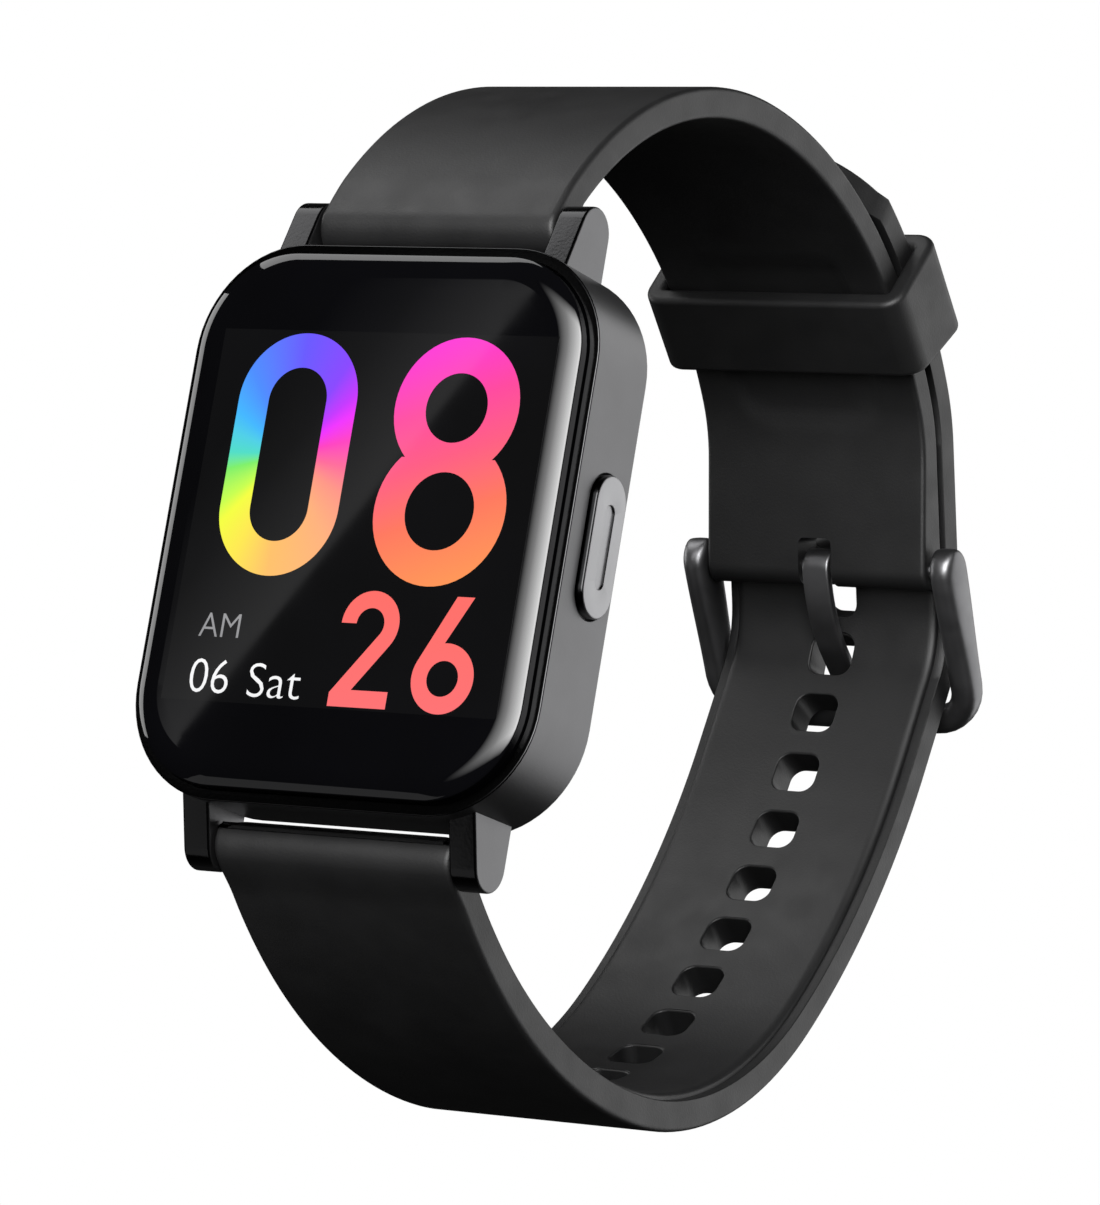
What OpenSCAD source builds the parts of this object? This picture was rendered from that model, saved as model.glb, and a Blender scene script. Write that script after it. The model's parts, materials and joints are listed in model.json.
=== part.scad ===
// Square-faced smartwatch on a buckled silicone strap.
// Millimetres. +Z leaves the display, +Y points to 12 o'clock, +X to the side button.
// The origin is the centre of the flat sensor window that rests on the wrist.

/* [Case] */
// Width of the case across the display
case_w = 34.4; // [33:0.1:38]
// Height of the case between the strap ends
case_h = 41.6; // [41:0.1:44]
// Corner radius of the case seen from the front
case_r = 8.2; // [7:0.1:9]
// Height of the front rim above the wrist
rim_z = 9.0; // [8.8:0.1:9.4]
// Height of the lower edge of the side wall above the wrist
wall_z = 1.7; // [1.6:0.1:1.9]
// Thickness of the side wall
wall = 1.6; // [1.4:0.1:1.8]

/* [Display] */
// Width of the lit display
screen_w = 28.6; // [26:0.1:29]
// Height of the lit display
screen_h = 28.1; // [26:0.1:30]
// Height of the top of the cover glass above the front rim
glass_rise = 1.35; // [1:0.05:1.5]

/* [Button] */
// Length of the side button along the case
button_l = 10.4; // [8:0.1:12]
// Width of the side button
button_w = 4.2; // [3.6:0.1:4.4]
// How far the side button stands out of the case
button_out = 0.5; // [0.45:0.05:0.7]
// How far the side button can be pressed
button_travel = 0.35; // [0.2:0.05:0.4]

/* [Strap] */
// Gap between the two lugs of a pair
lug_gap = 20.4; // [20.3:0.1:20.6]
// Width of both straps
strap_w = 20.1; // [19.6:0.1:20.1]
// Thickness of the short strap and of the wide part of the long strap
strap_t = 2.4; // [2.2:0.1:2.4]
// Width of the raised pad on the wrist side of the long strap
pad_w = 18.4; // [17:0.1:19]
// Height of the raised pad on the wrist side of the long strap
pad_t = 0.5; // [0.3:0.1:0.6]
// Number of adjustment holes
hole_count = 12; // [8:1:12]
// Distance between two adjustment holes
hole_pitch = 5.6; // [5.6:0.1:5.8]

/* [Buckle] */
// Outer width of the buckle frame
buckle_w = 25.2; // [24.8:0.1:26]
// Width of the prong
prong_w = 2.4; // [2:0.1:2.4]
// Width of the keeper loop along the strap, in degrees of its bend
keeper_span = 11.2; // [9:0.1:12]

/* [Hidden] */
$fn = 48;

// Heights of the layers inside the case
glass_z0 = rim_z - 1.05;
glass_z1 = rim_z + glass_rise;
ledge_z0 = rim_z - 1.75;
ledge_z1 = rim_z - 1.2;
cover_z0 = 0.9;
cover_z1 = 2.1;
rim_wall = 0.8;
edge_w = 1.92;
edge_r = 4.1;
foot_r = 0.4;
glass_gap = 0.1;

// Lugs and spring bars
bar_y = case_h / 2 + 2.4;
bar_z = 4.5;
lug_t = 2.3;
lug_r = 2.0;
lug_slope = 20;
lug_root = 1.1;
bar_r = 0.75;
tip_r = 0.4;
collar_r = 0.45;
tip_bore_r = 0.45;
bar_hole_r = 0.8;
tip_reach = 0.9;
knuckle_r = 1.8;

// Wrist side of the short strap, each arc given by centre, radius and end angles
bend_a = [7.67, -23];
bend_a_r = 31.43;
bend_b_r = 38;
bend_b = [bend_a[0] + bend_a_r - bend_b_r, bend_a[1]];
bend_c_r = 12;
bend_b_end = -50;
bend_c = polar(bend_b, bend_b_r - bend_c_r, bend_b_end);
end_in = -72;
end_out = -67;
end_r = 1.6;
bar_c = cross_point(bend_c, end_in, bend_c_r + end_r, bend_c, end_out, bend_c_r + strap_t - end_r);

// Wrist side of the long strap
long_t = strap_t + pad_t;
lap = 0.12;
bend_e = [6.85, -25.5];
bend_e_r = 41;
bend_f_r = 29;
bend_f = [bend_e[0] - bend_e_r + bend_f_r, bend_e[1]];
bend_g_r = 62;
bend_f_end = 230;
bend_g = polar(bend_f, bend_f_r - bend_g_r, bend_f_end);
bend_g_end = 254;
bend_h_r = 8;
lap_out = 360 + end_out;
lap_r = bend_c_r + strap_t + lap;
bend_h = cross_point(bend_g, bend_g_end, bend_g_r - bend_h_r, bend_c, lap_out, lap_r - bend_h_r);
hip_start = polar(bend_h, bend_h_r, bend_g_end);
hip_end = polar(bend_h, bend_h_r, lap_out);
run_g = polar(bend_g, bend_g_r, bend_g_end);
run_len = norm(hip_start - run_g);
lap_start = polar(bend_c, lap_r, lap_out);
tail_r = bend_b_r + strap_t + lap;
tail_leave = 334;
tail_len = -3.5;
tip_round = strap_w / 2 + 0.3;
tail_from = polar(bend_b, tail_r, tail_leave);
hole_w = 4.0;
hole_l = 3.6;
hole_first = 1.7;
hole_r = 1.1;
holes_past = 2;

// Buckle
far_bar = [3.39, -66.38];
far_bar_r = 1.15;
arm_r = 1.9;
prong_t = 0.8;
prong_ring_r = 1.45;
prong_lift = 116;
prong_bend_r = 14;
prong_mid = 149;
prong_reach = 4.2;
prong_hook_r = 6;
prong_hook_end = 295;
prong_tip = 1.6;

// Keeper
keeper_at = -38.5;
keeper_wall = 1.6;
keeper_gap = 0.15;

e = 0.01;

// Point at an angle on a circle, as [y, z]
function polar(c, r, a) = c + r * [cos(a), sin(a)];

// Point that lies d1 from c1 along direction a1 and d2 from c2 along direction a2
function cross_point(c1, a1, d1, c2, a2, d2) =
    let (
        k1 = d1 + c1[0] * cos(a1) + c1[1] * sin(a1),
        k2 = d2 + c2[0] * cos(a2) + c2[1] * sin(a2),
        det = cos(a1) * sin(a2) - sin(a1) * cos(a2))
    [(k1 * sin(a2) - k2 * sin(a1)) / det, (k2 * cos(a1) - k1 * cos(a2)) / det];

// Point and outward direction on the long strap, s along its middle from the bend at the buckle
function along_long(s) =
    s >= 0 ? let (a = bend_g_end + s / (bend_h_r + long_t / 2) * 180 / PI)
        (a <= lap_out ? concat(polar(bend_h, bend_h_r, a), [a]) : past_bend(s - hip_len))
    : -s <= run_len ? concat(hip_start + s * heading(bend_g_end), [bend_g_end])
    : let (a = bend_g_end - (-s - run_len) / (bend_g_r + long_t / 2) * 180 / PI)
        (a >= bend_f_end ? concat(polar(bend_g, bend_g_r, a), [a])
        : let (over = (bend_f_end - a) * (bend_g_r + long_t / 2) / (bend_f_r + long_t / 2))
            concat(polar(bend_f, bend_f_r, bend_f_end - over), [bend_f_end - over]));
hip_len = (lap_out - bend_g_end) * PI / 180 * (bend_h_r + long_t / 2);
lap_len = norm(lap_start - hip_end);
function past_bend(s) = s <= lap_len ? concat(hip_end + s * heading(lap_out), [lap_out])
    : let (a = lap_out + (s - lap_len) / (lap_r + long_t / 2) * 180 / PI)
        concat(polar(bend_c, lap_r, a), [a]);
function heading(a) = [-sin(a), cos(a)];

// Rectangle with round corners, exact arcs
module round_rect(w, h, r) {
    square([w - 2 * r, h], center = true);
    square([w, h - 2 * r], center = true);
    for (x = [-1, 1], y = [-1, 1]) translate([x * (w / 2 - r), y * (h / 2 - r)]) circle(r);
}

// Slab with round corners
module slab(w, h, r, z0, z1) {
    translate([0, 0, z0]) linear_extrude(z1 - z0) round_rect(w, h, r);
}

// Carries a 2D profile around a rounded rectangle; profile x = 0 is the corner's centre
module around(w, h, r) {
    for (i = [0 : 3]) {
        side = i % 2 == 0 ? [w, h] : [h, w];
        rotate(90 * i) translate([side[0] / 2 - r, side[1] / 2 - r, 0])
            rotate_extrude(angle = 90, $fn = 96) children();
        rotate(90 * i) translate([side[0] / 2 - r, side[1] / 2 - r, 0])
            rotate([90, 0, 0]) linear_extrude(side[1] - 2 * r) children();
    }
}

// 2D shape drawn as (y, z), made w wide and centred on X
module wide(w) {
    translate([-w / 2, 0, 0]) rotate([90, 0, 90]) linear_extrude(w) children();
}

// Places children so that local x is outward, local y runs along and local z is X
module on_route(p, a) {
    translate([0, p[0], p[1]]) rotate([90, 0, 90]) rotate(a) children();
}

// Points along an arc, one about every three degrees
function arc(c, r, a0, a1) =
    let (n = ceil(abs(a1 - a0) / 3))
    [for (i = [0 : n]) polar(c, r, a0 + (a1 - a0) * i / n)];

// Cylinder along X
module rod(c, r, x0, x1) {
    translate([x0, c[0], c[1]]) rotate([0, 90, 0]) cylinder(r = r, h = x1 - x0);
}

// ---- case ----

lug_in = lug_gap / 2;
lug_out = lug_in + lug_t;
// Height at which the sloping front of a lug meets the inside of the wall
lug_top = bar_z + lug_r / cos(lug_slope) + (bar_y - case_h / 2 + lug_root) * tan(lug_slope);
tip_hole_depth = 1.3;

module lug_pair(y) {
    s = sign(y);
    for (x = [-lug_out, lug_in]) difference() {
        union() {
            rod([y, bar_z], lug_r, x, x + lug_t);
            translate([x, 0, 0]) rotate([90, 0, 90]) linear_extrude(lug_t)
                polygon([
                    [s * (case_h / 2 - lug_root), bar_z - lug_r], [y, bar_z - lug_r], [y, bar_z],
                    [y + s * lug_r * sin(lug_slope), bar_z + lug_r * cos(lug_slope)],
                    [s * (case_h / 2 - lug_root), lug_top]]);
        }
        rod([y, bar_z], tip_bore_r, -lug_in - tip_hole_depth, lug_in + tip_hole_depth);
    }
}

lip_w = 1.2;
ledge_w = 1;

module case_profile() {
    difference() {
        union() {
            translate([case_r - wall, wall_z]) square([wall, ledge_z1 - wall_z]);
            translate([case_r - rim_wall, ledge_z1 - e]) square([rim_wall, rim_z - ledge_z1 + e]);
            translate([case_r - wall - ledge_w, ledge_z0]) square([ledge_w + e, ledge_z1 - ledge_z0]);
        }
        translate([case_r - foot_r, wall_z]) difference() {
            translate([0, -1]) square([foot_r + 1, foot_r + 1]);
            translate([0, foot_r]) circle(foot_r);
        }
        translate([case_r - wall - 1, wall_z - 1]) square([1 + wall - lip_w, cover_z1 - wall_z + 1.1]);
    }
}

screw_x = 13.4;
screw_y = 15.6;
post_r = 1.3;
post_h = 3.2;
thread_r = 0.55;
thread_roof = 0.4;

// Places children at the four screws of the back cover
module at_screws() {
    for (x = [-screw_x, screw_x], y = [-screw_y, screw_y]) translate([x, y, 0]) children();
}

module case_frame() {
    color([0.28, 0.28, 0.29]) difference() {
        union() {
            around(case_w, case_h, case_r) case_profile();
            lug_pair(bar_y);
            lug_pair(-bar_y);
            at_screws() translate([0, 0, cover_z1 + 0.1]) cylinder(r = post_r, h = post_h);
        }
        button_hole();
        at_screws() cylinder(r = thread_r, h = cover_z1 + post_h - thread_roof);
    }
}

button_z = 4.8;
button_y = 0.1;
cap_gap = 0.15;
recess_d = 0.9;
stem_r = 0.6;
stem_end = case_w / 2 - 2.75;
seal_r = 1.0;
seal_t = 0.35;
wall_x = case_w / 2;

// Stadium-shaped block that lies along the side wall
module pill(l, w, x0, x1) {
    translate([x0, button_y, button_z]) rotate([90, 0, 90]) linear_extrude(x1 - x0)
        round_rect(l, w, w / 2 - e);
}

module button_hole() {
    pill(button_l + 2 * cap_gap, button_w + 2 * cap_gap, wall_x - recess_d, wall_x + 1);
    rod([button_y, button_z], stem_r + 0.05, wall_x - wall - 1, wall_x);
    rod([button_y, button_z], seal_r, wall_x - wall - 1, wall_x - wall + seal_t);
}

// ---- display stack ----

module front_glass() {
    glass_w = case_w - 2 * rim_wall - 2 * glass_gap;
    glass_h = case_h - 2 * rim_wall - 2 * glass_gap;
    glass_r = case_r - rim_wall - glass_gap;
    flat_in = 3;
    mid_in = 2.5;
    color([0.03, 0.03, 0.035]) union() {
        around(glass_w, glass_h, glass_r) intersection() {
            translate([glass_r - flat_in, glass_z0]) square([flat_in, glass_z1 - glass_z0]);
            union() {
                translate([glass_r - edge_w, glass_z1 - edge_r]) circle(edge_r, $fn = 360);
                translate([glass_r - flat_in, glass_z0]) square([flat_in - edge_w, glass_z1 - glass_z0]);
            }
        }
        slab(glass_w - 2 * mid_in, glass_h - 2 * mid_in, glass_r - mid_in, glass_z0, glass_z1);
    }
}

seal_out = 1.1;
seal_in = 2.5;

module glass_gasket() {
    color([0.1, 0.1, 0.1]) difference() {
        slab(case_w - 2 * seal_out, case_h - 2 * seal_out, case_r - seal_out, ledge_z1, glass_z0);
        slab(case_w - 2 * seal_in, case_h - 2 * seal_in, case_r - seal_in, ledge_z1 - 1, glass_z0 + 1);
    }
}

touch_z = glass_z0 - 0.35;
panel_z = glass_z0 - 1.15;
film_t = 0.12;
fold = [-4, 5, 5.6];
fold_w = 8;

module touch_panel() {
    touch_size = [screen_w + 0.6, screen_h + 6];
    color([0.12, 0.14, 0.2]) slab(touch_size[0], touch_size[1], 4.6, touch_z, glass_z0);
}

module display_panel() {
    color([0.05, 0.06, 0.1]) slab(screen_w, screen_h + 4, 4.2, panel_z, touch_z);
}

// Film that leaves the display, folds down and ends at the main board
module display_flex() {
    under_l = 18;
    foot_l = 3;
    color([0.75, 0.45, 0.1]) {
        translate([fold[0], fold[1] - under_l, panel_z - film_t]) cube([fold_w, under_l, film_t]);
        translate(fold) cube([fold_w, film_t, panel_z - fold[2]]);
        translate(fold) cube([fold_w, foot_l, film_t]);
    }
}

module mid_frame() {
    plate_in = wall + 0.1;
    plate_z0 = 6.05;
    plate_z1 = 6.5;
    rib_x = 11.1;
    rib_t = 0.5;
    rib_y = -15.3;
    rib_l = 18;
    rib_z = 2.6;
    color([0.2, 0.2, 0.21]) difference() {
        union() {
            slab(case_w - 2 * plate_in, case_h - 2 * plate_in, case_r - plate_in, plate_z0, plate_z1);
            for (x = [-rib_x - rib_t, rib_x]) translate([x, rib_y, rib_z])
                cube([rib_t, rib_l, plate_z0 - rib_z + 0.05]);
        }
        translate([fold[0] - 0.5, fold[1] - 0.4, plate_z0 - 1]) cube([fold_w + 1, 4, 3]);
        at_screws() translate([0, 0, plate_z0 - 1]) cylinder(r = post_r + 0.2, h = 3);
        translate([rib_x + 0.8, button_y - 3, plate_z0 - 1]) cube([4, 6, 3]);
    }
}

// ---- electronics ----

board = [22.8, 13.4, 0.6];
board_at = [-11.4, 4.4, 4.95];

// Chips under the main board, as [x, y, width, length, height]
chips = [
    [-1, 9.4, 5.4, 5.4, 1.15], [5.6, 6, 4.4, 5, 0.85],
    [6, 12.6, 3.6, 3.6, 0.75], [-9.8, 4.9, 3, 1.4, 0.65]];

module main_board() {
    color([0.05, 0.3, 0.15]) {
        difference() {
            translate(board_at) cube(board);
            translate([motor_at[0], motor_at[1], 0]) cylinder(r = 0.7, h = rim_z);
        }
        for (c = chips) translate([c[0], c[1], board_at[2] - c[4]]) cube([c[2], c[3], c[4]]);
    }
}

cell = [21.6, 17.6];
cell_y = -6.4;
cell_z0 = 2.95;
cell_z1 = 6.0;

module battery() {
    color([0.6, 0.6, 0.62]) translate([0, cell_y, 0]) slab(cell[0], cell[1], 1.2, cell_z0, cell_z1);
}

// Lead from the top of the battery to the main board
module battery_lead() {
    lead_w = 2.4;
    lead_t = 0.3;
    lead_l = 4;
    lead_at = [-9, cell_y + cell[1] / 2];
    lead_z = board_at[2] + board[2] + e;
    drop_z = 4.6;
    color([0.7, 0.1, 0.1]) {
        translate([lead_at[0], lead_at[1], lead_z]) cube([lead_w, lead_l, lead_t]);
        translate([lead_at[0], lead_at[1], drop_z]) cube([lead_w, lead_t, lead_z - drop_z]);
    }
}

motor_at = [-7, 11, 2.2];
motor_r = 4;
motor_h = 2.6;
motor_wall = 0.3;
shaft_r = 0.4;

module motor_housing() {
    color([0.72, 0.72, 0.74]) translate(motor_at) {
        difference() {
            cylinder(r = motor_r, h = motor_h);
            translate([0, 0, motor_wall]) cylinder(r = motor_r - motor_wall, h = motor_h - 2 * motor_wall);
        }
        translate([0, 0, motor_wall / 2]) cylinder(r = shaft_r, h = motor_h - motor_wall);
    }
}

// Half disc on a hub, turned by the shaft
module motor_rotor() {
    hub_r = 1.1;
    weight_r = 3.4;
    hub_z = 0.6;
    hub_h = 1.4;
    weight_h = 1.0;
    color([0.5, 0.42, 0.25]) translate(motor_at) difference() {
        union() {
            translate([0, 0, hub_z]) cylinder(r = hub_r, h = hub_h);
            translate([0, 0, hub_z + 0.2]) rotate_extrude(angle = 180) square([weight_r, weight_h]);
        }
        cylinder(r = shaft_r + 0.05, h = motor_h);
    }
}

led = 2.4;
diode = 1.6;
diode_at = 3.4;
sensor_t = 0.4;
sensor_film = [0.5, 5.5];
sensor_film_w = 3;

// Round board with the light source and three receivers that look through the window
module sensor_board() {
    color([0.08, 0.35, 0.18]) {
        translate([0, 0, cover_z1]) cylinder(r = 6.5, h = sensor_t);
        translate([-led / 2, -led / 2, window_z1]) cube([led, led, cover_z1 - window_z1 + 0.1]);
        for (a = [0 : 120 : 240]) rotate(a) translate([diode_at, -diode / 2, window_z1])
            cube([diode, diode, cover_z1 - window_z1 + 0.1]);
    }
}

module sensor_flex() {
    z = cover_z1 + sensor_t;
    color([0.75, 0.45, 0.1]) translate([sensor_film[0], sensor_film[1], z]) {
        cube([sensor_film_w, sensor_film_w, film_t]);
        translate([0, sensor_film_w, 0]) cube([sensor_film_w, film_t, board_at[2] - z]);
    }
}

// ---- back ----

cover_in = 1.25;
cover_edge_r = 0.9;
window_r = 7;
window_z1 = 0.85;
window_step = 0.25;
contact_x = 2.6;
contact_y = 15.2;
contact_r = 1.15;
contact_head_r = 1.5;
contact_head_z = 1.65;
screw_head_r = 1.1;
screw_head_h = 0.5;

module back_cover() {
    cover_w = case_w - 2 * cover_in;
    cover_h = case_h - 2 * cover_in;
    cover_r = case_r - cover_in;
    band_w = 2;
    dome_z = 0.1;
    color([0.06, 0.06, 0.065]) difference() {
        union() {
            around(cover_w, cover_h, cover_r) difference() {
                translate([cover_r - band_w, cover_z0]) square([band_w, cover_z1 - cover_z0]);
                translate([cover_r - cover_edge_r, cover_z0]) difference() {
                    translate([0, -0.1]) square([1, cover_edge_r + 0.1]);
                    translate([0, cover_edge_r]) circle(cover_edge_r);
                }
            }
            slab(cover_w - 3, cover_h - 3, cover_r - 1.5, cover_z0, cover_z1);
            translate([0, 0, dome_z]) cylinder(r1 = 10.6, r2 = 12.2, h = cover_z0 - dome_z + e);
        }
        translate([0, 0, -1]) cylinder(r = window_r + 0.05, h = 1 + window_z1);
        cylinder(r = window_r - 1.3, h = 3);
        for (x = [-contact_x, contact_x]) translate([x, contact_y, 0]) {
            cylinder(r = contact_r + 0.05, h = 3);
            translate([0, 0, contact_head_z - 0.05]) cylinder(r = contact_head_r + 0.1, h = 2);
        }
        at_screws() {
            cylinder(r = thread_r + 0.1, h = 3);
            cylinder(r = screw_head_r + 0.05, h = cover_z0 + screw_head_h + 0.1);
        }
    }
}

module back_seal() {
    ring_out = 2;
    ring_in = 2.4;
    color([0.15, 0.15, 0.15]) difference() {
        slab(case_w - 2 * ring_out, case_h - 2 * ring_out, case_r - ring_out, cover_z1, cover_z1 + 0.1);
        slab(case_w - 2 * ring_in, case_h - 2 * ring_in, case_r - ring_in, cover_z1 - 1, cover_z1 + 1);
    }
}

module sensor_window() {
    color([0.04, 0.05, 0.07]) difference() {
        union() {
            cylinder(r = window_r - 0.2, h = window_step + 0.1);
            translate([0, 0, window_step]) cylinder(r = window_r, h = window_z1 - window_step);
        }
        translate([0, 0, 0.6]) cylinder(r = window_r - 1, h = 1);
    }
}

module charge_contact(x) {
    color([0.8, 0.66, 0.3]) translate([x, contact_y, 0]) {
        translate([0, 0, cover_z0 - 0.05]) cylinder(r = contact_r, h = contact_head_z - cover_z0 + 0.1);
        translate([0, 0, contact_head_z]) cylinder(r = contact_head_r, h = 0.4);
    }
}

module charge_contact_left() { charge_contact(-contact_x); }
module charge_contact_right() { charge_contact(contact_x); }

module cover_screw(x, y) {
    shank_r = 0.5;
    shank_h = 3.2;
    drive_r = 0.45;
    color([0.5, 0.5, 0.52]) translate([x * screw_x, y * screw_y, cover_z0]) difference() {
        union() {
            translate([0, 0, 0.1]) cylinder(r = screw_head_r, h = screw_head_h);
            translate([0, 0, screw_head_h]) cylinder(r = shank_r, h = shank_h);
        }
        cylinder(r = drive_r, h = 0.35);
    }
}

module cover_screw_1() { cover_screw(1, 1); }
module cover_screw_2() { cover_screw(-1, 1); }
module cover_screw_3() { cover_screw(-1, -1); }
module cover_screw_4() { cover_screw(1, -1); }

// ---- side button ----

module button_cap() {
    cap_in = wall_x - recess_d + button_travel + 0.1;
    cap_out = wall_x + button_out;
    step = 0.3;
    groove_l = button_l * 0.59;
    groove_w = 1.15;
    groove_d = 0.15;
    color([0.62, 0.62, 0.63]) {
        difference() {
            union() {
                pill(button_l, button_w, cap_in, cap_out - step);
                pill(button_l - 2 * step, button_w - 2 * step, cap_out - step - e, cap_out);
            }
            pill(groove_l, groove_w, cap_out - groove_d, cap_out + 1);
        }
        rod([button_y, button_z], stem_r, stem_end, cap_in + 0.1);
    }
}

// Ring clipped round the stem that keeps the button in the wall
module button_clip() {
    clip_r = 1.2;
    clip_x = wall_x - 2.4;
    clip_t = 0.3;
    color([0.7, 0.7, 0.72]) difference() {
        rod([button_y, button_z], clip_r, clip_x, clip_x + clip_t);
        rod([button_y, button_z], stem_r, clip_x - 1, clip_x + 1);
    }
}

module button_seal() {
    x = wall_x - wall + 0.05;
    color([0.2, 0.2, 0.2]) difference() {
        rod([button_y, button_z], seal_r - 0.02, x, x + seal_t - 0.07);
        rod([button_y, button_z], stem_r + 0.03, x - 1, x + 1);
    }
}

switch_x = 12.1;
plunger_x = 13.0;

module tact_switch() {
    body = [1.4, 3.6, 2.6];
    bore_x = 12.5;
    color([0.25, 0.25, 0.25]) difference() {
        translate([switch_x, button_y - body[1] / 2, button_z - body[2] / 2]) cube(body);
        rod([button_y, button_z], stem_r + 0.05, bore_x, wall_x);
    }
}

module switch_plunger() {
    color([0.85, 0.85, 0.85]) rod([button_y, button_z], stem_r, plunger_x, stem_end - 0.02);
}

// ---- spring bars ----

bore_end = 0.6;
pin_back = 3.6;
coil_back = 14.2;
coil_pitch = 0.5;
coil_last = 17;

// Tube with a fixed tip on the left and an open mouth for the sliding pin on the right
module bar_tube(c, half) {
    color([0.66, 0.66, 0.68]) difference() {
        union() {
            rod(c, bar_r, -half, half);
            rod(c, tip_r, -half - tip_reach, -half + 1);
        }
        rod(c, collar_r + 0.05, -half + 2, half - bore_end);
        rod(c, tip_bore_r, half - 1, half + 1);
    }
}

// Pin whose collar stays behind the mouth of the tube
module bar_pin(c, half) {
    color([0.75, 0.75, 0.77]) {
        rod(c, collar_r, half - pin_back, half - bore_end - 0.1);
        rod(c, tip_r, half - bore_end - 0.2, half + tip_reach);
    }
}

// Ribbed sleeve that stands for the coil behind the pin
module bar_spring(c, half) {
    rib_r = 0.42;
    neck_r = 0.36;
    hollow_r = 0.24;
    start = half - coil_back;
    color([0.5, 0.5, 0.5]) for (i = [0 : coil_last])
        difference() {
            rod(c, i % 2 == 0 ? rib_r : neck_r, start + coil_pitch * i,
                start + coil_pitch * (i + 1) + (i < coil_last ? e : 0));
            rod(c, hollow_r, start - 1, half - pin_back);
        }
}

lug_half = lug_in - 0.2;
arm_in = strap_w / 2 + 0.2;
buckle_half = arm_in - 0.15;

module upper_bar_tube() { bar_tube([bar_y, bar_z], lug_half); }
module upper_bar_pin() { bar_pin([bar_y, bar_z], lug_half); }
module upper_bar_spring() { bar_spring([bar_y, bar_z], lug_half); }
module lower_bar_tube() { bar_tube([-bar_y, bar_z], lug_half); }
module lower_bar_pin() { bar_pin([-bar_y, bar_z], lug_half); }
module lower_bar_spring() { bar_spring([-bar_y, bar_z], lug_half); }
module buckle_bar_tube() { bar_tube(bar_c, buckle_half); }
module buckle_bar_pin() { bar_pin(bar_c, buckle_half); }
module buckle_bar_spring() { bar_spring(bar_c, buckle_half); }

// ---- straps ----

// Side outline of the short strap, from the upper spring bar to the buckle's bar and back
function short_outline() =
    let (lean = atan2(bar_z - bend_a[1], bar_y - bend_a[0]))
    concat(
        arc(bend_a, bend_a_r, lean, 0), arc(bend_b, bend_b_r, 0, bend_b_end),
        arc(bend_c, bend_c_r, bend_b_end, end_in), arc(bar_c, end_r, end_in + 180, end_out + 360),
        arc(bend_c, bend_c_r + strap_t, end_out, bend_b_end),
        arc(bend_b, bend_b_r + strap_t, bend_b_end, 0),
        arc(bend_a, bend_a_r + strap_t, 0, lean));

// A face of the long strap, out = 0 for the wrist side and long_t for the outer side
function long_face(out) =
    let (lean = atan2(bar_z - bend_e[1], -bar_y - bend_e[0]))
    concat(
        arc(bend_e, bend_e_r + out, lean, 180), arc(bend_f, bend_f_r + out, 180, bend_f_end),
        arc(bend_g, bend_g_r + out, bend_f_end, bend_g_end),
        arc(bend_h, bend_h_r + out, bend_g_end, lap_out),
        arc(bend_c, lap_r + out, lap_out, 360 + bend_b_end),
        arc(bend_b, tail_r + out, 360 + bend_b_end, tail_leave),
        [polar(tail_from, out, tail_leave) + (tail_len + tip_round) * heading(tail_leave)]);

function backwards(list) = [for (i = [len(list) - 1 : -1 : 0]) list[i]];

module short_strap() {
    top = [bar_y, bar_z];
    color([0.09, 0.09, 0.095]) difference() {
        union() {
            rod(top, knuckle_r, -strap_w / 2, strap_w / 2);
            wide(strap_w) polygon(short_outline());
        }
        rod(top, bar_hole_r, -strap_w, strap_w);
        rod(bar_c, bar_hole_r, -strap_w, strap_w);
        on_route(bar_c, end_in) translate([-5, -4, -prong_w / 2 - 0.3])
            cube([10, 6.4, prong_w + 0.6]);
    }
}

// What is cut off the end of the tail to make it round
module tip_trim() {
    on_route(tail_from, tail_leave) translate([-1, tail_len, 0]) rotate([0, 90, 0]) difference() {
        translate([-strap_w, 0, 0]) cube([2 * strap_w, strap_w, long_t + 2]);
        translate([0, 0, -1]) cylinder(r = tip_round, h = long_t + 4, $fn = 96);
    }
}

module long_strap() {
    low = [-bar_y, bar_z];
    color([0.09, 0.09, 0.095]) difference() {
        union() {
            rod(low, knuckle_r, -strap_w / 2, strap_w / 2);
            wide(strap_w) polygon(concat(long_face(pad_t), backwards(long_face(long_t))));
            wide(pad_w) polygon(concat(long_face(0), backwards(long_face(strap_t))));
        }
        tip_trim();
        rod(low, bar_hole_r, -strap_w, strap_w);
        for (i = [-holes_past : hole_count - holes_past - 1]) {
            spot = along_long(hole_first - i * hole_pitch);
            on_route([spot[0], spot[1]], spot[2]) rotate([0, 90, 0]) translate([0, 0, -1])
                linear_extrude(long_t + 2) round_rect(hole_w, hole_l, hole_r);
        }
    }
}

// Band that holds the tail against the short strap, bent like the straps inside it
keeper_out_r = 1.8;
keeper_in_r = 0.25;

module keeper_loop() {
    r0 = bend_b_r - keeper_gap;
    r1 = tail_r + long_t + keeper_gap;
    in_w = strap_w + 2 * keeper_gap;
    color([0.1, 0.1, 0.105]) on_route(bend_b, keeper_at - keeper_span / 2)
        rotate_extrude(angle = keeper_span, $fn = 360) translate([(r0 + r1) / 2, 0]) difference() {
            round_rect(r1 - r0 + 2 * keeper_wall, in_w + 2 * keeper_wall, keeper_out_r);
            round_rect(r1 - r0, in_w, keeper_in_r);
        }
}

// ---- buckle ----

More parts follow.
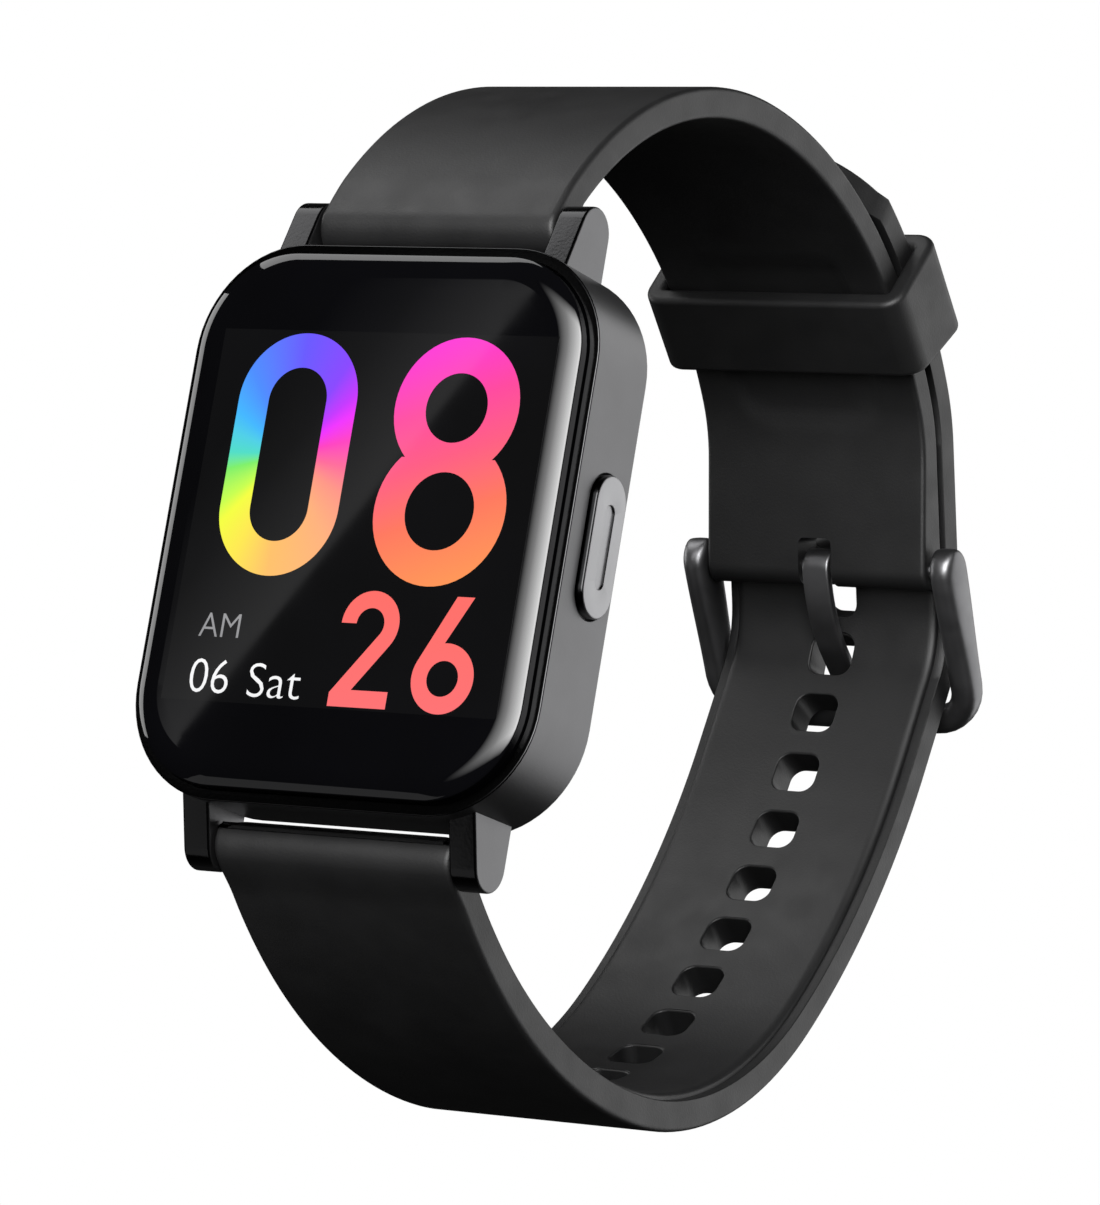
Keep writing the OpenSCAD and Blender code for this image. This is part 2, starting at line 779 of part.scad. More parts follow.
module buckle_frame() {
    arm_out = buckle_w / 2;
    tilt = atan2(bar_c[1] - far_bar[1], bar_c[0] - far_bar[0]);
    span = norm(bar_c - far_bar);
    flare = acos((arm_r - far_bar_r) / span);
    color([0.3, 0.3, 0.31]) difference() {
        union() {
            for (x = [-1, 1]) translate([x * (arm_in + (arm_out - arm_in) / 2), 0, 0]) {
                rod(bar_c, arm_r, -(arm_out - arm_in) / 2, (arm_out - arm_in) / 2);
                rod(far_bar, far_bar_r, -(arm_out - arm_in) / 2, (arm_out - arm_in) / 2);
                wide(arm_out - arm_in) polygon([
                    polar(bar_c, arm_r, tilt + 180 - flare),
                    polar(far_bar, far_bar_r, tilt + 180 - flare),
                    polar(far_bar, far_bar_r, tilt + 180 + flare),
                    polar(bar_c, arm_r, tilt + 180 + flare)]);
            }
            rod(far_bar, far_bar_r, -arm_out + 0.5, arm_out - 0.5);
        }
        for (x = [-1, 1]) rod(bar_c, tip_bore_r, x > 0 ? arm_in - 1 : -arm_in - 1.2,
            x > 0 ? arm_in + 1.2 : -arm_in + 1);
    }
}

// Flat band carried around the bar, through a hole and over the far side of the frame
module prong_band(c, r, a0, a1) {
    on_route(c, a0) rotate_extrude(angle = a1 - a0, $fn = 180)
        translate([r - prong_t / 2, -prong_w / 2]) square([prong_t, prong_w]);
}

module buckle_prong() {
    root = polar(bar_c, prong_ring_r - prong_t / 2 - prong_bend_r, prong_lift);
    mid = polar(root, prong_bend_r, prong_mid);
    out = mid + prong_reach * heading(prong_mid);
    hook = polar(out, prong_hook_r, prong_mid);
    tip = polar(hook, prong_hook_r, prong_hook_end);
    color([0.3, 0.3, 0.31]) difference() {
        union() {
            rod(bar_c, prong_ring_r, -prong_w / 2, prong_w / 2);
            prong_band(root, prong_bend_r, prong_lift, prong_mid);
            on_route(mid, prong_mid) translate([-prong_t / 2, -e, -prong_w / 2])
                cube([prong_t, prong_reach + 2 * e, prong_w]);
            prong_band(hook, prong_hook_r, prong_hook_end, prong_mid + 180);
            on_route(tip, prong_hook_end) translate([-prong_t / 2, -prong_tip, -prong_w / 2])
                cube([prong_t, prong_tip + e, prong_w]);
        }
        rod(bar_c, bar_hole_r, -prong_w, prong_w);
    }
}

case_frame();
front_glass();
glass_gasket();
touch_panel();
display_panel();
display_flex();
mid_frame();
main_board();
battery();
battery_lead();
motor_housing();
motor_rotor();
back_cover();
back_seal();
sensor_window();
sensor_board();
sensor_flex();
charge_contact_left();
charge_contact_right();
cover_screw_1();
cover_screw_2();
cover_screw_3();
cover_screw_4();
button_cap();
button_clip();
button_seal();
tact_switch();
switch_plunger();
upper_bar_tube();
upper_bar_pin();
upper_bar_spring();
lower_bar_tube();
lower_bar_pin();
lower_bar_spring();
buckle_bar_tube();
buckle_bar_pin();
buckle_bar_spring();
short_strap();
long_strap();
keeper_loop();
buckle_frame();
buckle_prong();
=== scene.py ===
import json
import math

import bmesh
import bpy
from mathutils import Matrix, Vector


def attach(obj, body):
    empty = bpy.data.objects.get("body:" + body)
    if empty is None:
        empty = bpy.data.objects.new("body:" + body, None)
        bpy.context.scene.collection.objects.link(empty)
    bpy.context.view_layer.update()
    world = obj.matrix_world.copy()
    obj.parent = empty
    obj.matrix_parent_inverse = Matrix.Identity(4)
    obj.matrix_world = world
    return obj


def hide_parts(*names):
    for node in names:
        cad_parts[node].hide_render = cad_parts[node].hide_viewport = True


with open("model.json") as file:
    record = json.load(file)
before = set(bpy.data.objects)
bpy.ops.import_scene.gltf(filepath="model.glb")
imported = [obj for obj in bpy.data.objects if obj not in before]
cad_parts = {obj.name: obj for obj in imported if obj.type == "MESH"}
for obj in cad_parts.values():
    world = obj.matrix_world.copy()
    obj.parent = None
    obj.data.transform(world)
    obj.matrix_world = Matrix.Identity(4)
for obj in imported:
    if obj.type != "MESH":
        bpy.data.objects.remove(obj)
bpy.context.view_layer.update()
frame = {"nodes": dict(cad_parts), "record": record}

# Smartwatch on a buckled silicone strap. Shapes are worked out in millimetres and stored in metres.
# +Z leaves the display, +Y points to 12 o'clock, +X to the side button.

MM = 0.001
SCENE = bpy.context.scene

# ---------------------------------------------------------------- small maths


def polar(centre, radius, angle):
    """Point at an angle in degrees on a circle."""
    a = math.radians(angle)
    return (centre[0] + radius * math.cos(a), centre[1] + radius * math.sin(a))


def heading(angle):
    """Unit direction that a point moves in as its angle grows."""
    a = math.radians(angle)
    return (-math.sin(a), math.cos(a))


def outward(angle):
    """Unit direction at an angle in degrees."""
    return polar((0, 0), 1, angle)


def along(point, direction, distance):
    return (point[0] + direction[0] * distance, point[1] + direction[1] * distance)


def mix(a, b, t):
    return tuple(p + (q - p) * t for p, q in zip(a, b))


def arc(centre, radius, start, end, steps):
    return [polar(centre, radius, start + (end - start) * i / steps) for i in range(steps + 1)]


def smooth(t):
    t = min(1.0, max(0.0, t))
    return t * t * (3 - 2 * t)


def crossing(c1, a1, d1, c2, a2, d2):
    """Point d1 from c1 along direction a1 and d2 from c2 along direction a2."""
    a1, a2 = math.radians(a1), math.radians(a2)
    k1 = d1 + c1[0] * math.cos(a1) + c1[1] * math.sin(a1)
    k2 = d2 + c2[0] * math.cos(a2) + c2[1] * math.sin(a2)
    det = math.cos(a1) * math.sin(a2) - math.sin(a1) * math.cos(a2)
    return ((k1 * math.sin(a2) - k2 * math.sin(a1)) / det, (k2 * math.cos(a1) - k1 * math.cos(a2)) / det)


def round_outline(w, h, r, corner=12, side=8):
    """Rectangle with round corners as (x, y) points, counter-clockwise."""
    centres = [(w / 2 - r, h / 2 - r, 0), (r - w / 2, h / 2 - r, 90),
               (r - w / 2, r - h / 2, 180), (w / 2 - r, r - h / 2, 270)]
    points = []
    for i, (x, y, a) in enumerate(centres):
        turn = arc((x, y), r, a, a + 90, corner)
        nxt = centres[(i + 1) % 4]
        first = polar((nxt[0], nxt[1]), r, a + 90)
        points += turn
        points += [mix(turn[-1], first, k / side) for k in range(1, side)]
    return points


# ---------------------------------------------------------------- mesh tools


def loft(rings, loop=False):
    """Skin through rings of equal length; without loop both ends get a cap."""
    n = len(rings[0])
    verts = [p for ring in rings for p in ring]
    faces = []
    for i in range(len(rings) if loop else len(rings) - 1):
        a, b = i * n, (i + 1) % len(rings) * n
        for k in range(n):
            m = (k + 1) % n
            faces.append((a + k, a + m, b + m, b + k))
    if not loop:
        faces.append(tuple(range(n - 1, -1, -1)))
        faces.append(tuple(range((len(rings) - 1) * n, len(rings) * n)))
    return verts, faces


def new_object(name, verts, faces):
    """Closed mesh object, still in millimetres."""
    mesh = bpy.data.meshes.new(name)
    mesh.from_pydata(verts, [], faces)
    tidy_mesh(mesh)
    obj = bpy.data.objects.new(name, mesh)
    SCENE.collection.objects.link(obj)
    return obj


def tidy_mesh(mesh):
    bm = bmesh.new()
    bm.from_mesh(mesh)
    bmesh.ops.remove_doubles(bm, verts=bm.verts, dist=1e-5)
    bmesh.ops.dissolve_degenerate(bm, edges=bm.edges, dist=1e-6)
    bmesh.ops.recalc_face_normals(bm, faces=bm.faces)
    bm.to_mesh(mesh)
    bm.free()


def evaluated(obj):
    """The object's mesh with its modifiers applied."""
    graph = bpy.context.evaluated_depsgraph_get()
    return bpy.data.meshes.new_from_object(obj.evaluated_get(graph))


def boolean(obj, tool, operation="DIFFERENCE", solver="EXACT"):
    mod = obj.modifiers.new("solid", "BOOLEAN")
    mod.operation = operation
    mod.solver = solver
    mod.object = tool
    mesh = evaluated(obj)
    obj.modifiers.clear()
    obj.data = mesh
    tidy_mesh(mesh)
    bpy.data.objects.remove(tool)


def joined(name, parts):
    """One object out of several (verts, faces) shapes that don't touch."""
    verts, faces = [], []
    for v, f in parts:
        base = len(verts)
        verts += v
        faces += [tuple(i + base for i in face) for face in f]
    return new_object(name, verts, faces)


def place(obj, body, material, stands_for=(), sharp=40):
    """Brings a finished mesh to metres, shades it and hangs it on its body."""
    obj.data.transform(Matrix.Scale(MM, 4))
    obj.data.shade_smooth()
    obj.data.set_sharp_from_angle(angle=math.radians(sharp))
    weighted = obj.modifiers.new("even_shading", "WEIGHTED_NORMAL")
    weighted.keep_sharp = True
    weighted.weight = 80
    obj.data.materials.clear()
    obj.data.materials.append(material)
    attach(obj, body)
    if stands_for:
        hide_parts(*stands_for)
    return obj


# ---------------------------------------------------------------- materials

# Normal Z range over which up-facing metal fades into its painted shade.
TOP_SHADE_RANGE = (0.35, 0.75)
RIM_TOP = 9.0
GLASS_ROUGH = (0.02, 0.035)


def linear(code):
    """Linear colour from a six-digit screen colour."""
    parts = [int(code[i:i + 2], 16) / 255 for i in (0, 2, 4)]
    return tuple(c / 12.92 if c <= 0.04045 else ((c + 0.055) / 1.055) ** 2.4 for c in parts) + (1.0,)


def new_material(name):
    mat = bpy.data.materials.new(name)
    mat.use_nodes = True
    tree = mat.node_tree
    shader = tree.nodes["Principled BSDF"]
    coords = tree.nodes.new("ShaderNodeTexCoord")
    return mat, tree, shader, coords.outputs["Object"]


def noise(tree, coords, scale, detail=3.0, rough=0.55):
    node = tree.nodes.new("ShaderNodeTexNoise")
    node.inputs["Scale"].default_value = scale
    node.inputs["Detail"].default_value = detail
    node.inputs["Roughness"].default_value = rough
    tree.links.new(coords, node.inputs["Vector"])
    return node.outputs["Fac"]


def ramp(tree, factor, stops):
    node = tree.nodes.new("ShaderNodeValToRGB")
    band = node.color_ramp
    while len(band.elements) < len(stops):
        band.elements.new(0.5)
    for element, (at, colour) in zip(band.elements, stops):
        element.position = at
        element.color = colour
    tree.links.new(factor, node.inputs["Fac"])
    return node.outputs["Color"]


def spread(tree, factor, low, high, start=0.3, end=0.7):
    """Carries a factor from start..end to low..high."""
    node = tree.nodes.new("ShaderNodeMapRange")
    node.inputs["From Min"].default_value = start
    node.inputs["From Max"].default_value = end
    node.inputs["To Min"].default_value = low
    node.inputs["To Max"].default_value = high
    tree.links.new(factor, node.inputs["Value"])
    return node.outputs["Result"]


def bump(tree, shader, height, strength, depth):
    node = tree.nodes.new("ShaderNodeBump")
    node.inputs["Strength"].default_value = strength
    node.inputs["Distance"].default_value = depth
    tree.links.new(height, node.inputs["Height"])
    tree.links.new(node.outputs["Normal"], shader.inputs["Normal"])


def surface(name, dark, light, patch, rough, grain=None, **sockets):
    """Two close tones in patches, uneven roughness and a fine grain of (scale, strength, depth)."""
    mat, tree, shader, coords = new_material(name)
    tone = noise(tree, coords, patch)
    stops = [(0.3, (*dark, 1.0)), (0.7, (*light, 1.0))]
    tree.links.new(ramp(tree, tone, stops), shader.inputs["Base Color"])
    wear = noise(tree, coords, patch * 2.7)
    tree.links.new(spread(tree, wear, *rough), shader.inputs["Roughness"])
    if grain:
        bump(tree, shader, noise(tree, coords, grain[0], 2.0), grain[1], grain[2])
    for key, value in sockets.items():
        shader.inputs[key.replace("_", " ")].default_value = value
    return mat


def glow(name, build, strength):
    """Lit picture element under the polish of the cover glass."""
    mat, tree, shader, coords = new_material(name)
    tree.links.new(build(tree, coords), shader.inputs["Emission Color"])
    shader.inputs["Emission Strength"].default_value = strength
    haze = noise(tree, coords, 90.0)
    tree.links.new(ramp(tree, haze, [(0.3, (0.001, 0.001, 0.001, 1)), (0.7, (0.0014, 0.0014, 0.0016, 1))]),
                   shader.inputs["Base Color"])
    tree.links.new(spread(tree, haze, *GLASS_ROUGH), shader.inputs["Roughness"])
    return mat


def blasted_metal(name, side, top, rough, rim=None):
    """Bead-blasted metal; faces that look out of the display side, or lie above rim, get a painted shade (a
    darker base tone) and a smoother finish.

    side is the metal's grey tone, top the darker painted-shade tone of those faces, rough holds the roughness
    of each."""
    mat, tree, shader, coords = new_material(name)
    facing = tree.nodes.new("ShaderNodeSeparateXYZ")
    tree.links.new(tree.nodes.new("ShaderNodeTexCoord").outputs["Normal"], facing.inputs[0])
    # Painted shade: 1 where faces turn toward +Z or lie above rim; these faces take the darker top tone.
    painted_shade_mask = spread(tree, facing.outputs["Z"], 0, 1, *TOP_SHADE_RANGE)
    if rim is not None:
        place_z = tree.nodes.new("ShaderNodeSeparateXYZ")
        tree.links.new(coords, place_z.inputs[0])
        above = spread(tree, place_z.outputs["Z"], 0, 1, (rim - 0.1) * MM, (rim - 0.04) * MM)
        most = tree.nodes.new("ShaderNodeMath")
        most.operation = "MAXIMUM"
        tree.links.new(painted_shade_mask, most.inputs[0])
        tree.links.new(above, most.inputs[1])
        painted_shade_mask = most.outputs[0]
    patch = noise(tree, coords, 150)
    tone = tree.nodes.new("ShaderNodeMix")
    tone.data_type = "RGBA"
    tree.links.new(painted_shade_mask, tone.inputs["Factor"])
    for socket, value in (("A", side), ("B", top)):
        stops = [(0.3, (value, value, value * 1.02, 1)), (0.7, (value * 1.12, value * 1.12, value * 1.15, 1))]
        tree.links.new(ramp(tree, patch, stops), tone.inputs[socket])
    tree.links.new(tone.outputs["Result"], shader.inputs["Base Color"])
    tree.links.new(spread(tree, painted_shade_mask, *rough, 0, 1), shader.inputs["Roughness"])
    shader.inputs["Metallic"].default_value = 1.0
    bump(tree, shader, noise(tree, coords, 4200, 2.0), 0.2, 0.00002)
    return mat


MATERIALS = {
    # The second tone of case_metal and button_metal is a painted shade on up-facing faces and the rim top.
    "case_metal": blasted_metal("case_metal", 0.12, 0.03, (0.38, 0.14), RIM_TOP),
    "button_metal": blasted_metal("button_metal", 0.28, 0.02, (0.4, 0.14)),
    "cover_glass": surface("cover_glass", (0.001, 0.001, 0.0012), (0.0014, 0.0014, 0.0018), 60,
                           GLASS_ROUGH),
    "display": surface("display", (0.01, 0.01, 0.014), (0.014, 0.014, 0.02), 200, (0.15, 0.2)),
    "strap_rubber": surface("strap_rubber", (0.0045, 0.0045, 0.0047), (0.0065, 0.0065, 0.0067), 120,
                            (0.46, 0.54), (5200, 0.35, 0.00004), Specular_IOR_Level=0.38),
    "buckle_metal": surface("buckle_metal", (0.15, 0.15, 0.154), (0.175, 0.175, 0.18), 250, (0.4, 0.46),
                            (3000, 0.05, 0.00001), Metallic=1.0),
    "back_plastic": surface("back_plastic", (0.012, 0.012, 0.013), (0.018, 0.018, 0.02), 160, (0.3, 0.38),
                            (4000, 0.1, 0.00002)),
    "sensor_glass": surface("sensor_glass", (0.004, 0.006, 0.012), (0.008, 0.01, 0.02), 180, (0.04, 0.07)),
    "bar_steel": surface("bar_steel", (0.45, 0.45, 0.46), (0.56, 0.56, 0.57), 500, (0.25, 0.34),
                         (3500, 0.1, 0.00001), Metallic=1.0),
    "contact_gold": surface("contact_gold", (0.62, 0.42, 0.16), (0.72, 0.52, 0.22), 600, (0.2, 0.28),
                            Metallic=1.0),
    "seal_rubber": surface("seal_rubber", (0.02, 0.02, 0.02), (0.03, 0.03, 0.03), 300, (0.6, 0.7)),
    "board": surface("board", (0.01, 0.1, 0.05), (0.02, 0.15, 0.07), 700, (0.4, 0.5)),
    "flex": surface("flex", (0.4, 0.2, 0.05), (0.5, 0.26, 0.07), 500, (0.35, 0.45)),
    "cell_foil": surface("cell_foil", (0.45, 0.45, 0.47), (0.55, 0.55, 0.57), 400, (0.3, 0.42),
                         Metallic=1.0),
    "inner_plastic": surface("inner_plastic", (0.03, 0.03, 0.033), (0.045, 0.045, 0.05), 300, (0.5, 0.6)),
    "lead_red": surface("lead_red", (0.4, 0.02, 0.02), (0.5, 0.04, 0.03), 500, (0.4, 0.5)),
    "motor_steel": surface("motor_steel", (0.5, 0.5, 0.52), (0.6, 0.6, 0.62), 500, (0.25, 0.35),
                           Metallic=1.0),
    "rotor_weight": surface("rotor_weight", (0.3, 0.24, 0.14), (0.4, 0.32, 0.2), 500, (0.35, 0.45),
                            Metallic=1.0),
}

# ---------------------------------------------------------------- case

CASE_W, CASE_H, CASE_R = 34.4, 41.6, 8.2
WALL_Z, RIM_Z = 1.7, RIM_TOP
RIM_WALL, WALL, COVER_INSET = 0.8, 1.6, 1.2
LEDGE_Z = (RIM_Z - 1.75, RIM_Z - 1.2)
FOOT_R, LIP_R, INNER_Z = 0.4, 0.12, WALL_Z + 0.3
SIDE_ROWS = (4.5, 6.5)
BAR_Y, BAR_Z = CASE_H / 2 + 2.4, 4.5
LUG_IN, LUG_T, LUG_R, LUG_EDGE, LUG_SLOPE, LUG_ROOT = 10.2, 2.3, 2.0, 0.2, 20, 1.1
BUTTON_Y, BUTTON_Z = 0.1, 4.8
BUTTON_L, BUTTON_W, BUTTON_OUT = 10.4, 4.2, 0.5
RECESS_GAP, RECESS_D = 0.15, 0.9
CAP_SUNK, CAP_BEVEL, CAP_EDGE = 0.35, 0.15, 0.2
GROOVE_L, GROOVE_W = BUTTON_L * 0.59, 1.15
GROOVE_SIDE = [(0, 0.16), (0.02, 0.06), (0.06, 0), (0.15, 0)]
STEM_R, STEM_IN = 0.6, 2.75


def case_rings():
    """(inset, height) round the section of the case wall, each carried round the outline."""
    section = [(COVER_INSET, INNER_Z)]
    section += arc((FOOT_R, WALL_Z + FOOT_R), FOOT_R, 270, 180, 7)
    section += [(0, z) for z in SIDE_ROWS]
    section += arc((LIP_R, RIM_Z - LIP_R), LIP_R, 180, 90, 4)
    section += [(RIM_WALL - 0.04, RIM_Z), (RIM_WALL, RIM_Z - 0.04), (RIM_WALL, LEDGE_Z[1])]
    section += [(WALL + 1, LEDGE_Z[1]), (WALL + 1, LEDGE_Z[0]), (WALL, LEDGE_Z[0]), (WALL, INNER_Z)]
    return [[(x, y, z) for x, y in round_outline(CASE_W - 2 * d, CASE_H - 2 * d, CASE_R - d, 16)]
            for d, z in section]


def inset_polygon(points, d):
    """Convex outline moved inwards by d."""
    n = len(points)
    area = sum(points[i - 1][0] * points[i][1] - points[i][0] * points[i - 1][1] for i in range(n))
    turn = 1 if area > 0 else -1
    moved = []
    for i in range(n):
        a, b, c = points[i - 1], points[i], points[(i + 1) % n]
        e1 = Vector((b[0] - a[0], b[1] - a[1])).normalized()
        e2 = Vector((c[0] - b[0], c[1] - b[1])).normalized()
        n1, n2 = Vector((-e1.y, e1.x)) * turn, Vector((-e2.y, e2.x)) * turn
        m = (n1 + n2) / max(1e-6, 1 + n1.dot(n2))
        moved.append((b[0] + m.x * d, b[1] + m.y * d))
    return moved


def lug(side_x, side_y):
    """Lug block with round edges; its outline is drawn in the (y, z) plane."""
    y, root = side_y * BAR_Y, side_y * (CASE_H / 2 - LUG_ROOT)
    slope = math.radians(LUG_SLOPE)
    top = BAR_Z + LUG_R / math.cos(slope) + (BAR_Y - CASE_H / 2 + LUG_ROOT) * math.tan(slope)
    start = 270 if side_y > 0 else -90
    outline = [(root, BAR_Z - LUG_R)] + arc((y, BAR_Z), LUG_R, start, start + side_y * (180 - LUG_SLOPE), 18)
    outline += [(root, top)]
    rings = [(LUG_IN + LUG_EDGE * (1 - math.cos(math.radians(22.5 * k))),
              LUG_EDGE * (1 - math.sin(math.radians(22.5 * k)))) for k in range(5)]
    rings += [(2 * LUG_IN + LUG_T - x, d) for x, d in reversed(rings)]
    return loft([[(side_x * x, p, q) for p, q in inset_polygon(outline, d)] for x, d in rings])


def pill_ring(x, length, width):
    """Stadium in the (y, z) plane at height x out of the side wall."""
    outline = round_outline(length, width, width / 2 - 0.001, 12, 4)
    return [(x, BUTTON_Y + p, BUTTON_Z + q) for p, q in outline]


def build_case():
    case = new_object("case_shell", *loft(case_rings(), loop=True))
    for sx in (-1, 1):
        for sy in (-1, 1):
            boolean(case, new_object("lug", *lug(sx, sy)), "UNION")
    wall_x, flare = CASE_W / 2, 0.15
    mouth = [(wall_x - RECESS_D, 0), (wall_x - flare, 0), (wall_x - flare / 3, flare / 4), (wall_x, flare),
             (wall_x + 1, 3 * flare)]
    tool = loft([pill_ring(x, BUTTON_L + 2 * (RECESS_GAP + g), BUTTON_W + 2 * (RECESS_GAP + g))
                 for x, g in mouth])
    boolean(case, new_object("recess", *tool))
    place(case, "case", MATERIALS["case_metal"], ["case_frame"], 32)


def build_button():
    """Cap with a soft edge and a shallow groove, and the stem that runs into the case."""
    tip, base = CASE_W / 2 + BUTTON_OUT, CASE_W / 2 - CAP_SUNK
    rings = [pill_ring(base, BUTTON_L - 2 * CAP_BEVEL, BUTTON_W - 2 * CAP_BEVEL),
             pill_ring(base + CAP_BEVEL, BUTTON_L, BUTTON_W)]
    for k in range(6):
        a = math.radians(90 * k / 5)
        d = CAP_EDGE * (1 - math.cos(a))
        rings.append(pill_ring(tip - CAP_EDGE + CAP_EDGE * math.sin(a), BUTTON_L - 2 * d, BUTTON_W - 2 * d))
    for depth, wider in GROOVE_SIDE:
        rings.append(pill_ring(tip - depth, GROOVE_L + wider, GROOVE_W + wider))
    stem = [[(x, BUTTON_Y + p, BUTTON_Z + q) for p, q in arc((0, 0), STEM_R, 0, 345, 23)]
            for x in (CASE_W / 2 - STEM_IN, base + 0.1)]
    cap = joined("side_button", [loft(rings), loft(stem)])
    place(cap, "button", MATERIALS["button_metal"], ["button_cap"], 35)


# ---------------------------------------------------------------- cover glass and picture

GLASS_IN = RIM_WALL + 0.1
GLASS_W, GLASS_H, GLASS_R = CASE_W - 2 * GLASS_IN, CASE_H - 2 * GLASS_IN, CASE_R - GLASS_IN
GLASS_Z = (RIM_Z - 1.05, RIM_Z + 1.35)
EDGE_R, EDGE_TURN = 4.1, 27.9
PICTURE = (-13.92, -13.82, 14.58, 13.93)
PICTURE_SHIFT = (0.28, -0.12)
PIXEL_Z = GLASS_Z[1] + 0.02


def build_glass():
    """Cover glass whose top curves down to the rim all round."""
    section = [(0.12, GLASS_Z[0]), (0, GLASS_Z[0] + 0.12)]
    edge_in = EDGE_R * math.sin(math.radians(EDGE_TURN))
    edge_z = GLASS_Z[1] - EDGE_R
    section.append((0, edge_z + EDGE_R * math.cos(math.radians(EDGE_TURN)) - 0.05))
    steps = 18
    for k in range(steps + 1):
        a = math.radians(EDGE_TURN * (1 - k / steps))
        inset = edge_in - EDGE_R * math.sin(a) + (0.03 if k == 0 else 0)
        section.append((inset, edge_z + EDGE_R * math.cos(a)))
    section.append((edge_in + 0.8, GLASS_Z[1]))
    rings = [[(x, y, z) for x, y in round_outline(GLASS_W - 2 * d, GLASS_H - 2 * d, GLASS_R - d, 20)]
             for d, z in section]
    glass = new_object("cover_glass", *loft(rings))
    place(glass, "case", MATERIALS["cover_glass"], ["front_glass"], 60)


def flat_shape(name, loops, z0, z1):
    """Thin slab out of closed (x, y) outlines; an outline inside another is a hole."""
    curve = bpy.data.curves.new(name, "CURVE")
    curve.dimensions = "2D"
    curve.fill_mode = "BOTH"
    curve.extrude = (z1 - z0) / 2
    for loop in loops:
        spline = curve.splines.new("POLY")
        spline.points.add(len(loop) - 1)
        for point, (x, y) in zip(spline.points, loop):
            point.co = (x, y, 0, 1)
        spline.use_cyclic_u = True
    return solid_from_curve(name, curve, (z0 + z1) / 2)


def solid_from_curve(name, curve, z):
    source = bpy.data.objects.new(name + "_outline", curve)
    SCENE.collection.objects.link(source)
    mesh = evaluated(source)
    bpy.data.objects.remove(source)
    mesh.transform(Matrix.Translation((0, 0, z)))
    tidy_mesh(mesh)
    mesh.name = name
    obj = bpy.data.objects.new(name, mesh)
    SCENE.collection.objects.link(obj)
    return obj


FONT_THIN = -0.05


def word(name, text, box, z0, z1):
    """Small text stretched to fill box = (x0, y0, x1, y1)."""
    curve = bpy.data.curves.new(name, "FONT")
    curve.body = text
    curve.size = 4
    curve.extrude = (z1 - z0) / 2
    curve.resolution_u = 4
    curve.offset = FONT_THIN
    obj = solid_from_curve(name, curve, (z0 + z1) / 2)
    low = [min(v.co[i] for v in obj.data.vertices) for i in (0, 1)]
    high = [max(v.co[i] for v in obj.data.vertices) for i in (0, 1)]
    for v in obj.data.vertices:
        for i in (0, 1):
            v.co[i] = box[i] + (v.co[i] - low[i]) / (high[i] - low[i]) * (box[i + 2] - box[i])
    return obj


ZERO_AT = (-6.87, 4.78)


def zero_loops():
    outer, inner = (10.2, 18.1), (5.0, 12.95)
    return [[(ZERO_AT[0] + x, ZERO_AT[1] + y) for x, y in round_outline(w, h, w / 2 - 0.01, 28, 6)]
            for w, h in (outer, inner)]


def eight_loops():
    """Two rings that run into each other."""
    top, top_r, low, low_r, pinch = (6.75, 8.62), 5.2, (6.75, 1.03), 5.5, (3.4, 4.9)
    a = math.degrees(math.asin((pinch[1] - top[1]) / top_r))
    b = math.degrees(math.asin((pinch[1] - low[1]) / low_r))
    outer = arc(top, top_r, a, 180 - a, 44) + arc(low, low_r, 180 - b, 360 + b, 44)
    return [outer, arc(top, 2.57, 0, 352.5, 47), arc(low, 2.87, 0, 352.5, 47)]


def two_loop():
    centre, out_r, in_r, lean = (2.6, -7.4), 2.42, 1.17, -38
    left, right, bar_top, base = 0.1, 5.0, -12.25, -13.5
    down = heading(lean)
    outer, inner = polar(centre, out_r, lean), polar(centre, in_r, lean)
    knee = along(outer, down, (bar_top - outer[1]) / down[1])
    heel = along(inner, down, (left - inner[0]) / down[0])
    return [arc(centre, out_r, 180, lean, 30) + [knee, (right, bar_top), (right, base), (left, base), heel]
            + arc(centre, in_r, lean, 180, 30)]


def six_loops():
    centre, out_r, in_r = (9.33, -11.05), 2.57, 1.3
    return [[(9.5, -5.1), (10.95, -5.1)] + arc(centre, out_r, 96, -206, 50), arc(centre, in_r, 0, 350, 35)]


def ring_rainbow(tree, coords):
    """Colour by the angle round the middle of the first figure."""
    stops = [(-180, "52DEC8"), (-166, "7FF06A"), (-143, "C8FF50"), (-133, "F5FF42"), (-112, "FFE850"),
             (-90, "FFC068"), (-55, "FFB07A"), (-29, "FF9585"), (-9, "FF6A9A"), (13, "FF3FC0"),
             (32, "F030FF"), (43, "C535FF"), (60, "8A48FF"), (90, "6B5BFF"), (125, "4F8FFF"),
             (148, "45B8FF"), (163, "50D0E8"), (180, "52DEC8")]
    split = tree.nodes.new("ShaderNodeSeparateXYZ")
    tree.links.new(coords, split.inputs[0])
    offsets = []
    for axis, middle in (("Y", ZERO_AT[1] + PICTURE_SHIFT[1]), ("X", ZERO_AT[0] + PICTURE_SHIFT[0])):
        shift = tree.nodes.new("ShaderNodeMath")
        shift.operation = "SUBTRACT"
        shift.inputs[1].default_value = middle * MM
        tree.links.new(split.outputs[axis], shift.inputs[0])
        offsets.append(shift.outputs[0])
    angle = tree.nodes.new("ShaderNodeMath")
    angle.operation = "ARCTAN2"
    tree.links.new(offsets[0], angle.inputs[0])
    tree.links.new(offsets[1], angle.inputs[1])
    factor = spread(tree, angle.outputs[0], 0, 1, -math.pi, math.pi)
    return ramp(tree, factor, [((a + 180) / 360, linear(c)) for a, c in stops])


def slanted(stops, start, end, lean):
    """Colour along a line that runs down the picture and leans to the right."""
    def build(tree, coords):
        dot = tree.nodes.new("ShaderNodeVectorMath")
        dot.operation = "DOT_PRODUCT"
        dot.inputs[1].default_value = (lean / MM, -1 / MM, 0)
        tree.links.new(coords, dot.inputs[0])
        factor = spread(tree, dot.outputs["Value"], 0, 1, start, end)
        return ramp(tree, factor, [(t, linear(c)) for t, c in stops])
    return build


